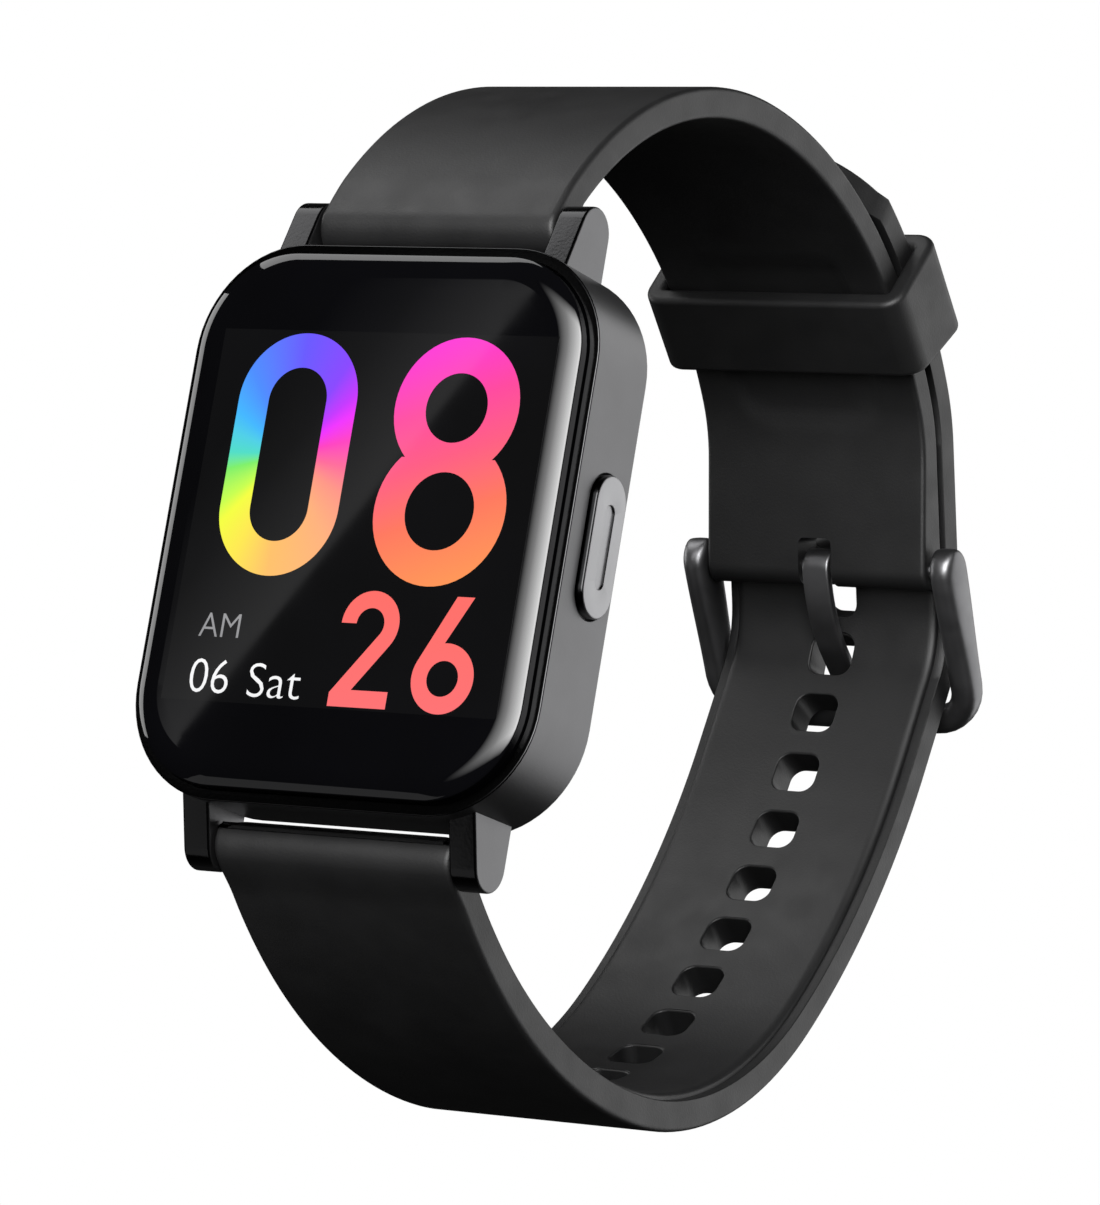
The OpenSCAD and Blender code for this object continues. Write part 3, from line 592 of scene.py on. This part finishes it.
def build_picture():
    x0, y0, x1, y1 = PICTURE
    z0 = GLASS_Z[1] - 0.005
    field = flat_shape("lit_field", [[(x0, y0), (x1, y0), (x1, y1), (x0, y1)]], z0, GLASS_Z[1] + 0.008)
    warm = [(0.0, "FF7068"), (1.0, "FF7478")]
    pink = [(0.0, "FF35E0"), (0.12, "FF3CCB"), (0.3, "FF4AA0"), (0.5, "FF5F85"), (0.72, "FF7A60"),
            (1.0, "FF9858")]
    grey = [(0.0, "0A0A0B"), (1.0, "080809")]
    paints = {
        "field": glow("lit_field", slanted(grey, -20, 20, 0.0), 1.0),
        "zero": glow("rainbow_figure", ring_rainbow, 1.0),
        "eight": glow("pink_figure", slanted(pink, -12.5, 7.5, 0.35), 1.0),
        "warm": glow("coral_figure", slanted(warm, 4, 16, 0.0), 1.0),
        "white": glow("white_text", slanted([(0.0, "FFFFFF"), (1.0, "F4F4F6")], 9, 14, 0.0), 1.0),
        "dim": glow("dim_text", slanted([(0.0, "A0A0A2"), (1.0, "909092")], 6, 10, 0.0), 1.0),
    }
    figures = [
        (field, "field"),
        (flat_shape("figure_0", zero_loops(), z0, PIXEL_Z), "zero"),
        (flat_shape("figure_8", eight_loops(), z0, PIXEL_Z), "eight"),
        (flat_shape("figure_2", two_loop(), z0, PIXEL_Z), "warm"),
        (flat_shape("figure_6", six_loops(), z0, PIXEL_Z), "warm"),
        (word("text_am", "AM", (-11.9, -8.95, -8.45, -7.2), z0, PIXEL_Z), "dim"),
        (word("text_06", "06", (-12.0, -13.1, -8.65, -10.6), z0, PIXEL_Z), "white"),
        (word("text_day", "Sat", (-6.9, -13.2, -2.4, -10.7), z0, PIXEL_Z), "white"),
    ]
    for obj, paint in figures:
        if paint != "field":
            obj.data.transform(Matrix.Translation((*PICTURE_SHIFT, 0)))
        place(obj, "case", paints[paint], (), 30)


# ---------------------------------------------------------------- straps

STRAP_W, STRAP_T, PAD_W, PAD_T, LAP = 20.1, 2.4, 18.4, 0.5, 0.12
LONG_T = STRAP_T + PAD_T
KNUCKLE_R = 1.8
BEND_A, BEND_A_R = (7.67, -23.0), 31.43
BEND_B_R, BEND_B_END = 38.0, -50
BEND_B = (BEND_A[0] + BEND_A_R - BEND_B_R, BEND_A[1])
BEND_C_R, END_IN, END_OUT, END_R = 12.0, -72, -67, 1.6
BEND_C = polar(BEND_B, BEND_B_R - BEND_C_R, BEND_B_END)
BUCKLE_BAR = crossing(BEND_C, END_IN, BEND_C_R + END_R, BEND_C, END_OUT, BEND_C_R + STRAP_T - END_R)
BEND_E, BEND_E_R = (6.85, -25.5), 41.0
BEND_F_R, BEND_F_END = 29.0, 230
BEND_F = (BEND_E[0] - BEND_E_R + BEND_F_R, BEND_E[1])
BEND_G_R, BEND_G_END = 62.0, 254
BEND_G = polar(BEND_F, BEND_F_R - BEND_G_R, BEND_F_END)
BEND_H_R, LAP_OUT = 8.0, 360 + END_OUT
LAP_R, TAIL_R = BEND_C_R + STRAP_T + LAP, BEND_B_R + STRAP_T + LAP
BEND_H = crossing(BEND_G, BEND_G_END, BEND_G_R - BEND_H_R, BEND_C, LAP_OUT, LAP_R - BEND_H_R)
TAIL_LEAVE, TAIL_LEN, TIP_R = 334, -3.5, STRAP_W / 2 + 0.3
HOLE_COUNT, HOLES_PAST, HOLE_PITCH, HOLE_FIRST = 12, 2, 5.6, 1.7
HOLE_W, HOLE_L, HOLE_R, HOLE_FLARE = 3.8, 3.4, 1.1, 0.14

ROUND_EDGE = [(math.sin(math.radians(18 * k)), 1 - math.cos(math.radians(18 * k))) for k in range(6)]
PAD_EDGE, LEDGE, OUTER_EDGE = (0.75, 0.42), 0.07, 0.45
KNUCKLE_RUN, SHORT_CROWN, LONG_CROWN = 3.4, 2.1, 1.8


def band_ring(p_in, p_out, half_w, low_edge, high_edge, cols, dip=None):
    """Section of a strap from its wrist side p_in to its outer side p_out, both (y, z)."""
    thick = math.dist(p_in, p_out)
    out = ((p_out[0] - p_in[0]) / thick, (p_out[1] - p_in[1]) / thick)

    def edge(shape, w, h):
        w, h = min(w, 0.45 * half_w), min(h, 0.42 * thick)
        return [(half_w - w + w * fx, h * fv) for fx, fv in shape]
    low = edge(*low_edge)
    high = [(x, thick - v) for x, v in reversed(edge(*high_edge))]
    right = low + high
    left = [(-x, v) for x, v in reversed(right)]
    inner = [(low[0][0] * (2 * k / cols - 1), 0) for k in range(1, cols)]
    outer = [(-x * high[-1][0] / low[0][0], thick) for x, _ in inner]
    if dip:
        inner = [(x, dip(x)) for x, _ in inner]
    return [(x, *along(p_in, out, v)) for x, v in inner + right + outer + left]


def knuckle_offsets(past, inner, outer, crown, run):
    """Offsets of the two faces from the bar, past = distance beyond the bar."""
    if past >= 0:
        s = math.sqrt(max(0.0, 1 - (past / KNUCKLE_R) ** 2))
        return -KNUCKLE_R * s, crown * s
    w = 1 - smooth(-past / run)
    return inner - (inner + KNUCKLE_R) * w, outer - (outer - crown) * w


def knuckle(centre, bar, band_r, thick, sign, crown, run):
    """Stations of the rolled end round a spring bar, from its tip to where the even band starts."""
    reach = math.dist(centre, bar)
    lean = math.degrees(math.atan2(bar[1] - centre[1], bar[0] - centre[0]))
    stations = []
    pasts = [KNUCKLE_R * math.sin(math.radians(88 - 11 * k)) for k in range(8)]
    pasts += [-run * k / 8 for k in range(9)]
    for past in pasts:
        low, high = knuckle_offsets(past, band_r - reach, band_r + thick - reach, crown, run)
        a = lean + sign * math.degrees(past / reach)
        stations.append((polar(centre, reach + low, a), polar(centre, reach + high, a)))
    return stations, lean - sign * math.degrees(run / reach)


def resample(path, count):
    """Points at even distances along a polyline."""
    lengths = [0.0]
    for a, b in zip(path, path[1:]):
        lengths.append(lengths[-1] + math.dist(a, b))
    points, k = [], 0
    for i in range(count + 1):
        want = lengths[-1] * i / count
        while k < len(path) - 2 and lengths[k + 1] < want:
            k += 1
        points.append(mix(path[k], path[k + 1], (want - lengths[k]) / (lengths[k + 1] - lengths[k])))
    return points


def short_stations():
    """(wrist side, outer side) pairs from the upper spring bar to the buckle's bar."""
    bar = (BAR_Y, BAR_Z)
    stations, start = knuckle(BEND_A, bar, BEND_A_R, STRAP_T, 1, SHORT_CROWN, KNUCKLE_RUN)
    stations += [(polar(BEND_A, BEND_A_R, a), polar(BEND_A, BEND_A_R + STRAP_T, a))
                 for a in (start * (1 - k / 34) for k in range(1, 35))]
    stations += [(polar(BEND_B, BEND_B_R, a), polar(BEND_B, BEND_B_R + STRAP_T, a))
                 for a in (BEND_B_END * k / 34 for k in range(1, 35))]
    low = arc(BEND_C, BEND_C_R, BEND_B_END, END_IN, 8) + [polar(BUCKLE_BAR, END_R, END_IN + 180)]
    high = arc(BEND_C, BEND_C_R + STRAP_T, BEND_B_END, END_OUT, 8) + [polar(BUCKLE_BAR, END_R, END_OUT)]
    stations += list(zip(resample(low, 16), resample(high, 16)))[1:]
    middle = (END_IN + END_OUT) / 2
    for k in range(1, 9):
        turn = 11 * k
        stations.append((polar(BUCKLE_BAR, END_R, middle + 180 + turn - 2.5 * (1 - k / 8)),
                         polar(BUCKLE_BAR, END_R, middle - turn + 2.5 * (1 - k / 8))))
    return stations


def long_route():
    """(wrist-side point, outward angle) along the long strap, past its rolled end."""
    bar = (-BAR_Y, BAR_Z)
    rolled, start = knuckle(BEND_E, bar, BEND_E_R, LONG_T, -1, LONG_CROWN, KNUCKLE_RUN)
    hip_start = polar(BEND_H, BEND_H_R, BEND_G_END)
    hip_end = polar(BEND_H, BEND_H_R, LAP_OUT)
    run_start = polar(BEND_G, BEND_G_R, BEND_G_END)
    route = []

    def bend(centre, radius, a0, a1, steps):
        for i in range(1, steps + 1):
            a = a0 + (a1 - a0) * i / steps
            route.append((polar(centre, radius, a), a))

    def straight(p, q, a, steps):
        for i in range(1, steps + 1):
            route.append((mix(p, q, i / steps), a))
    bend(BEND_E, BEND_E_R, start, 180, 28)
    bend(BEND_F, BEND_F_R, 180, BEND_F_END, 26)
    bend(BEND_G, BEND_G_R, BEND_F_END, BEND_G_END, 24)
    straight(run_start, hip_start, BEND_G_END, 7)
    bend(BEND_H, BEND_H_R, BEND_G_END, LAP_OUT, 12)
    lap_start = polar(BEND_C, LAP_R, LAP_OUT)
    straight(hip_end, lap_start, LAP_OUT, 3)
    bend(BEND_C, LAP_R, LAP_OUT, 360 + BEND_B_END, 8)
    bend(BEND_B, TAIL_R, 360 + BEND_B_END, TAIL_LEAVE - 6, 12)
    bend(BEND_B, TAIL_R, TAIL_LEAVE - 6, TAIL_LEAVE, 4)
    return rolled, route


def along_long(s):
    """Wrist-side point and outward angle, s along the middle from the bend at the buckle."""
    half = LONG_T / 2
    hip_len = math.radians(LAP_OUT - BEND_G_END) * (BEND_H_R + half)
    hip_start = polar(BEND_H, BEND_H_R, BEND_G_END)
    if s >= hip_len:
        hip_end, lap_start = polar(BEND_H, BEND_H_R, LAP_OUT), polar(BEND_C, LAP_R, LAP_OUT)
        s -= hip_len
        lap_len = math.dist(hip_end, lap_start)
        if s <= lap_len:
            return along(hip_end, heading(LAP_OUT), s), LAP_OUT
        a = LAP_OUT + math.degrees((s - lap_len) / (LAP_R + half))
        return polar(BEND_C, LAP_R, a), a
    if s >= 0:
        a = BEND_G_END + math.degrees(s / (BEND_H_R + half))
        return polar(BEND_H, BEND_H_R, a), a
    run = math.dist(hip_start, polar(BEND_G, BEND_G_R, BEND_G_END))
    if -s <= run:
        return along(hip_start, heading(BEND_G_END), s), BEND_G_END
    a = BEND_G_END - math.degrees((-s - run) / (BEND_G_R + half))
    if a >= BEND_F_END:
        return polar(BEND_G, BEND_G_R, a), a
    a = BEND_F_END - (BEND_F_END - a) * (BEND_G_R + half) / (BEND_F_R + half)
    return polar(BEND_F, BEND_F_R, a), a


def hole_tool(point, angle):
    """Plug with flared ends that cuts one adjustment hole with soft rims."""
    depths = [(-0.6, 2 * HOLE_FLARE)] + [(HOLE_FLARE * (1 - math.cos(math.radians(18 * k))),
                                          HOLE_FLARE * (1 - math.sin(math.radians(18 * k))))
                                         for k in range(6)]
    depths += [(LONG_T - d, g) for d, g in reversed(depths)]
    out, run = outward(angle), heading(angle)
    rings = []
    for depth, grow in depths:
        outline = round_outline(HOLE_W + 2 * grow, HOLE_L + 2 * grow, HOLE_R + grow, 8, 3)
        rings.append([(x, *along(along(point, out, depth), run, y)) for x, y in outline])
    return loft(rings)


def tip_half_width(past):
    """Half width of the round tail, past = distance beyond the middle of its tip circle."""
    return min(STRAP_W / 2, math.sqrt(max(0.0, TIP_R ** 2 - past ** 2)))


def padded_ring(p_in, p_out, half_w, cols):
    """Section of the long strap: raised pad, narrow ledge, side wall, soft outer edge."""
    thick = math.dist(p_in, p_out)
    out = ((p_out[0] - p_in[0]) / thick, (p_out[1] - p_in[1]) / thick)
    share = min(1.0, half_w / (STRAP_W / 2))
    pad, ledge, soft = PAD_W / 2 * share, LEDGE * share, OUTER_EDGE * share
    fall = PAD_EDGE[0] * share
    right = [(pad - fall + fall * math.sin(math.radians(15 * k)),
              PAD_EDGE[1] * (1 - math.cos(math.radians(15 * k)))) for k in range(7)]
    right += [(pad + 0.02 * share, PAD_T), (half_w - ledge, PAD_T), (half_w, PAD_T + ledge)]
    right += [(half_w - soft * (1 - math.cos(math.radians(18 * k))),
               thick - soft * (1 - math.sin(math.radians(18 * k)))) for k in range(6)]
    left = [(-x, v) for x, v in reversed(right)]
    inner = [(right[0][0] * (2 * k / cols - 1), 0) for k in range(1, cols)]
    outer = [(-x * right[-1][0] / right[0][0], thick) for x, _ in inner]
    return [(x, *along(p_in, out, v)) for x, v in inner + right + outer + left]


def build_long_strap():
    """Band with the holes, from the lower spring bar through the buckle to its round tail."""
    rolled, route = long_route()
    cols = 20
    rings = [padded_ring(p, q, STRAP_W / 2, cols) for p, q in rolled]
    for point, angle in route:
        outer = along(point, outward(angle), LONG_T)
        rings.append(padded_ring(point, outer, STRAP_W / 2, cols))
    base, angle = polar(BEND_B, TAIL_R, TAIL_LEAVE), TAIL_LEAVE
    out, run = outward(angle), heading(angle)
    for k in range(1, 15):
        s = TAIL_LEN + TIP_R * math.sin(math.radians(20 + 69.5 * k / 14))
        point = along(base, run, s)
        rings.append(padded_ring(point, along(point, out, LONG_T), tip_half_width(s - TAIL_LEN), cols))
    strap = new_object("long_band", *loft(rings))
    spots = [along_long(HOLE_FIRST - i * HOLE_PITCH) for i in range(-HOLES_PAST, HOLE_COUNT - HOLES_PAST)]
    boolean(strap, joined("holes", [hole_tool(*spot) for spot in spots]), solver="MANIFOLD")
    place(strap, "case", MATERIALS["strap_rubber"], ["long_strap"], 45)


KEEPER_AT, KEEPER_SPAN, KEEPER_WALL, KEEPER_GAP = -38.5, 11.2, 1.6, 0.15
KEEPER_R, KEEPER_IN_R, KEEPER_EDGE = 1.8, 0.25, 0.5
SLOT_GAP, SLOT_L, SLOT_R, SLOT_AT = 0.6, 6.9, 0.5, -1.05
RELIEF_W, RELIEF_END, RELIEF_D, RELIEF_SOFT = 7.0, 6.0, 0.35, 1.4


def relief_depth(x, past):
    """Depth of the U-shaped recess that starts under the keeper, past = distance below the keeper."""
    reach = RELIEF_END * (1 - 0.35 * (abs(x) / RELIEF_W) ** 3)
    return RELIEF_D * smooth((RELIEF_W - abs(x)) / RELIEF_SOFT) * smooth((reach - past) / RELIEF_SOFT)


def build_short_strap():
    """Band that carries the buckle, with a slot for the prong and a recess below the keeper."""
    low, high, cols = (ROUND_EDGE, 0.4, 0.4), (ROUND_EDGE, 0.45, 0.45), 36
    rings = []
    for p, q in short_stations():
        turn = math.degrees(math.atan2(p[1] - BEND_B[1], p[0] - BEND_B[0]))
        past = math.radians(KEEPER_AT - KEEPER_SPAN / 2 - turn) * BEND_B_R
        dip = (lambda x, d=past: relief_depth(x, d)) if -10 < past < RELIEF_END else None
        rings.append(band_ring(p, q, STRAP_W / 2, low, high, cols, dip))
    strap = new_object("short_band", *loft(rings))
    out = outward(END_IN)
    run = heading(END_IN)
    outline = round_outline(PRONG_W + SLOT_GAP, SLOT_L, SLOT_R, 6, 2)
    centre = along(BUCKLE_BAR, run, SLOT_AT)
    slot_rings = [[(x, *along(along(centre, out, d), run, y)) for x, y in outline] for d in (-5, 5)]
    boolean(strap, new_object("slot", *loft(slot_rings)))
    place(strap, "case", MATERIALS["strap_rubber"], ["short_strap"], 45)


# ---------------------------------------------------------------- keeper


def build_keeper():
    """Loop whose wall has round edges, bent along the strap."""
    r0, r1 = BEND_B_R - KEEPER_GAP, TAIL_R + LONG_T + KEEPER_GAP
    mid, high, wide_in = (r0 + r1) / 2, r1 - r0, STRAP_W + 2 * KEEPER_GAP
    inner = round_outline(high, wide_in, KEEPER_IN_R, 10, 10)
    outer = round_outline(high + 2 * KEEPER_WALL, wide_in + 2 * KEEPER_WALL, KEEPER_R, 10, 10)
    half = math.radians(KEEPER_SPAN / 2) * mid
    section = []
    for cx, cv, a in ((1, 1, 0), (-1, 1, 90), (-1, -1, 180), (1, -1, 270)):
        for k in range(6):
            t = math.radians(a + 18 * k)
            depth = KEEPER_WALL / 2 + cx * (KEEPER_WALL / 2 - KEEPER_EDGE) + KEEPER_EDGE * math.cos(t)
            section.append((depth, cv * (half - KEEPER_EDGE) + KEEPER_EDGE * math.sin(t)))
    rings = []
    for depth, v in section:
        share = depth / KEEPER_WALL
        ring = []
        for p, q in zip(inner, outer):
            radial, x = mix(p, q, share)
            ring.append((x, *polar(BEND_B, mid + radial, KEEPER_AT + math.degrees(v / mid))))
        rings.append(ring)
    keeper = new_object("keeper_band", *loft(rings, loop=True))
    place(keeper, "keeper", MATERIALS["strap_rubber"], ["keeper_loop"], 45)


# ---------------------------------------------------------------- buckle

FAR_BAR, FAR_R, ARM_R = (3.39, -66.38), 1.15, 1.9
ARM_IN, ARM_OUT = STRAP_W / 2 + 0.2, 12.6
BOW_CORNER, BOW_T = 3.0, 1.27
PRONG_W, PRONG_T, PRONG_RING, PRONG_BORE = 2.4, 0.8, 1.45, 0.8
PRONG_LIFT, PRONG_MID, PRONG_BEND_R, PRONG_HOOK_R, HOOK_END = 116, 149, 14.0, 6.0, 295
PRONG_REACH, PRONG_TIP = 4.2, 1.6


def pillow(a, b, power=2.6, count=28):
    """Soft-cornered oval section, half sizes a and b."""
    points = []
    for k in range(count):
        t = 2 * math.pi * k / count
        c, s = math.cos(t), math.sin(t)
        points.append((a * math.copysign(abs(c) ** (2 / power), c),
                       b * math.copysign(abs(s) ** (2 / power), s)))
    return points


def build_buckle():
    """One bow: two arms that widen into round ends at the spring bar, joined by the far bar."""
    span = math.dist(BUCKLE_BAR, FAR_BAR)
    run = ((FAR_BAR[0] - BUCKLE_BAR[0]) / span, (FAR_BAR[1] - BUCKLE_BAR[1]) / span)
    out = (-run[1], run[0])
    mid_x, half_x, corner = (ARM_IN + ARM_OUT) / 2, (ARM_OUT - ARM_IN) / 2, BOW_CORNER
    path = []
    for k in range(9):
        t = -ARM_R * math.sin(math.radians(86 - 10.75 * k))
        h = math.sqrt(max(0.0, ARM_R ** 2 - t ** 2))
        path.append(((mid_x, t), 90, half_x * (0.45 + 0.55 * math.sqrt(h / ARM_R)), h))
    for k in range(1, 12):
        t = (span - corner) * k / 11
        w = k / 11
        path.append(((mid_x, t), 90, half_x, ARM_R + (FAR_R + 0.1 - ARM_R) * smooth(w) * 0.9))
    for k in range(1, 9):
        w = k / 8
        spot = polar((mid_x - corner, span - corner), corner, 90 * w)
        path.append((spot, 90 + 90 * w, half_x + (FAR_R - half_x) * w, BOW_T + (FAR_R - BOW_T) * w))
    for k in range(1, 7):
        path.append((((mid_x - corner) * (1 - k / 6), span), 180, FAR_R, FAR_R))
    path += [((-x, t), 360 - a, b, h) for (x, t), a, b, h in reversed(path[:-1])]
    rings = []
    for (x, t), a, b, h in path:
        cross = outward(a - 90)
        ring = []
        for p, q in pillow(b, h):
            px, pt = x + cross[0] * p, t + cross[1] * p
            ring.append((px, *along(along(BUCKLE_BAR, run, pt), out, q)))
        rings.append(ring)
    frame_piece = new_object("buckle_bow", *loft(rings))
    place(frame_piece, "buckle", MATERIALS["buckle_metal"], ["buckle_frame"], 60)


def build_prong():
    """Flat band rolled round the bar and bent down through the used hole."""
    wall = PRONG_RING - PRONG_BORE
    stations = []
    for k in range(25):
        a = PRONG_LIFT - 300 + 300 * k / 24
        half = wall / 2 + (PRONG_T - wall) / 2 * smooth((k - 18) / 6)
        stations.append((polar(BUCKLE_BAR, PRONG_BORE + half, a), a, half))
    root = polar(BUCKLE_BAR, PRONG_BORE + PRONG_T / 2 - PRONG_BEND_R, PRONG_LIFT)
    stations += [(polar(root, PRONG_BEND_R, a), a, PRONG_T / 2)
                 for a in (PRONG_LIFT + (PRONG_MID - PRONG_LIFT) * k / 12 for k in range(1, 13))]
    point = along(stations[-1][0], heading(PRONG_MID), PRONG_REACH)
    stations.append((point, PRONG_MID, PRONG_T / 2))
    hook = polar(point, PRONG_HOOK_R, PRONG_MID)
    turn = PRONG_MID + 180 - HOOK_END
    stations += [(polar(hook, PRONG_HOOK_R, PRONG_MID + 180 - a), PRONG_MID - a, PRONG_T / 2)
                 for a in (turn * k / 12 for k in range(1, 13))]
    point, angle, half = stations[-1]
    for k in range(1, 8):
        s = PRONG_TIP * math.sin(math.radians(12.5 * k))
        stations.append((along(point, heading(angle), s), angle, half * (1 - 0.5 * (k / 7) ** 3)))
    rings = []
    for i, (p, a, h) in enumerate(stations):
        n = outward(a)
        left = len(stations) - 1 - i
        half_w = PRONG_W / 2 * (1 if left > 4 else math.sqrt(1 - ((5 - left) / 5.3) ** 2 * 0.75))
        section = round_outline(2 * half_w, 2 * h, min(0.22, 0.8 * h), 4, 4)
        rings.append([(x, *along(p, n, v)) for x, v in section])
    prong = new_object("prong_band", *loft(rings))
    place(prong, "prong", MATERIALS["buckle_metal"], ["buckle_prong"], 50)


# ---------------------------------------------------------------- assembly

build_case()
build_button()
build_glass()
build_picture()
build_long_strap()
build_short_strap()
build_keeper()
build_buckle()
build_prong()

slots = {row["node"]: row["material_slot"] for row in frame["record"]["subparts"]}
for node, obj in frame["nodes"].items():
    obj.data.materials.clear()
    obj.data.materials.append(MATERIALS[slots[node]])

# ---------------------------------------------------------------- studio


def softbox(name, spot, width, height, radiance):
    """Soft light panel of an even brightness that faces the origin, given in metres."""
    light = bpy.data.lights.new(name, "AREA")
    light.shape = "RECTANGLE"
    light.size, light.size_y = width, height
    light.energy = radiance * math.pi * width * height
    obj = bpy.data.objects.new(name, light)
    SCENE.collection.objects.link(obj)
    obj.location = spot
    obj.rotation_mode = "QUATERNION"
    obj.rotation_quaternion = (-Vector(spot)).to_track_quat("-Z", "Y")
    obj.visible_camera = False


def plain_glow(name, strength, fade=None, ends=None):
    """White light-giving surface; fade grades it along the card and ends across it."""
    mat = bpy.data.materials.new(name)
    mat.use_nodes = True
    tree = mat.node_tree
    tree.nodes.clear()
    out = tree.nodes.new("ShaderNodeOutputMaterial")
    emit = tree.nodes.new("ShaderNodeEmission")
    emit.inputs["Color"].default_value = (1, 1, 1, 1)
    emit.inputs["Strength"].default_value = strength
    tree.links.new(emit.outputs[0], out.inputs["Surface"])
    if fade:
        uv = tree.nodes.new("ShaderNodeUVMap")
        split = tree.nodes.new("ShaderNodeSeparateXYZ")
        tree.links.new(uv.outputs[0], split.inputs[0])
        shade = ramp(tree, split.outputs["Y"], fade)
        if ends:
            cut = tree.nodes.new("ShaderNodeMix")
            cut.data_type, cut.blend_type = "RGBA", "MULTIPLY"
            cut.inputs["Factor"].default_value = 1.0
            tree.links.new(shade, cut.inputs["A"])
            tree.links.new(ramp(tree, split.outputs["X"], ends), cut.inputs["B"])
            shade = cut.outputs["Result"]
        tree.links.new(shade, emit.inputs["Color"])
    return mat


def build_floor():
    """Pale floor that rises into a round wall and a roof far from the object."""
    floor_z, radius, bend, roof = -0.9, 2.4, 0.6, 2.4
    profile = [(0.01, floor_z), (radius - bend, floor_z)]
    profile += [(r, z) for r, z in arc((radius - bend, floor_z + bend), bend, 270, 360, 8)][1:]
    profile += [(radius, roof), (0.01, roof + 0.5)]
    steps = 48
    rings = [[(*polar((0, 0), r, 360 * k / steps), z) for k in range(steps)] for r, z in profile]
    floor = new_object("studio_floor", *loft(rings))
    floor.data.materials.append(plain_glow("floor_white", 1.0))
    floor.data.materials[0].cycles.emission_sampling = "NONE"
    floor.data.shade_smooth()
    floor.visible_diffuse = False
    floor.visible_glossy = False
    floor.visible_shadow = False
    floor.visible_transmission = False


CAMERA_AT = Vector((0.237187, -0.082281, 0.365240))
CAMERA_RIGHT = Vector((0.85434, 0.16029, -0.49438))
CAMERA_UP = Vector((-0.04433, 0.97026, 0.23798))
CAMERA_LENS = 181.65


def build_camera():
    data = bpy.data.cameras.new("camera")
    data.lens = CAMERA_LENS
    data.sensor_width = 36
    data.clip_start, data.clip_end = 0.01, 20
    obj = bpy.data.objects.new("camera", data)
    SCENE.collection.objects.link(obj)
    right = CAMERA_RIGHT.normalized()
    back = right.cross(CAMERA_UP).normalized()
    up = back.cross(right)
    turn = Matrix((right, up, back)).transposed().to_4x4()
    obj.matrix_world = Matrix.Translation(CAMERA_AT) @ turn
    SCENE.camera = obj


def graded_card(name, corners, strength, fade, ends=None):
    """Light card with a brightness that changes across it; fade runs from corners 0-1 to corners 3-2."""
    mesh = bpy.data.meshes.new(name)
    mesh.from_pydata([tuple(c) for c in corners], [], [(0, 1, 2, 3)])
    uv = mesh.uv_layers.new(name="UVMap")
    for loop, value in zip(uv.data, ((0, 0), (1, 0), (1, 1), (0, 1))):
        loop.uv = value
    card = bpy.data.objects.new(name, mesh)
    SCENE.collection.objects.link(card)
    grey = lambda stops: stops and [(at, (v, v, v, 1.0)) for at, v in stops]
    card.data.materials.append(plain_glow(name, strength, grey(fade), grey(ends)))
    card.visible_camera = False
    card.visible_shadow = False


def build_sheen_card():
    """Weak graded card whose edge the flat of the cover glass mirrors as a slanted line."""
    z = GLASS_Z[1] * MM
    marks = [(-15.5, -22.0), (15.8, 22.9), (4.8, 30.5), (-26.5, -14.5)]
    reach = 0.45
    corners = []
    for x, y in marks:
        spot = Vector((x * MM, y * MM, z))
        ray = (spot - CAMERA_AT).normalized()
        ray.z = -ray.z
        corners.append(spot + ray * reach)
    graded_card("sheen_card", corners, 1.0, [(0.0, 0.55), (0.25, 0.34), (0.6, 0.1), (1.0, 0.0)])


def build_key_card():
    """Main light above the display, brightest on the button's side and fading out over the case."""
    near, far, y, half = (0.41, 0.45), (-0.26, 0.55), 0.115, 0.27
    corners = [(near[0], y - half, near[1]), (near[0], y + half, near[1]),
               (far[0], y + half, far[1]), (far[0], y - half, far[1])]
    graded_card("key_card", corners, 17.0, [(0.0, 0.9), (0.31, 1.0), (0.5, 0.6), (0.68, 0.28), (0.97, 0.0)],
                [(0.0, 0.0), (0.18, 1.0), (0.82, 1.0), (1.0, 0.0)])


build_floor()
build_camera()
build_sheen_card()
build_key_card()
softbox("back", (-0.36, 0.56, 0.17), 0.42, 0.36, 3.2)
softbox("left", (-0.60, 0.10, 0.04), 0.4, 0.3, 3.0)
softbox("front", (-0.34, -0.40, 0.36), 0.3, 0.3, 0.4)
softbox("table", (0.32, 0.10, -0.46), 0.7, 0.7, 1.55)

world = bpy.data.worlds.new("studio")
world.use_nodes = True
world.node_tree.nodes["Background"].inputs["Color"].default_value = (0.008, 0.008, 0.008, 1)
SCENE.world = world
SCENE.view_settings.view_transform = "Standard"
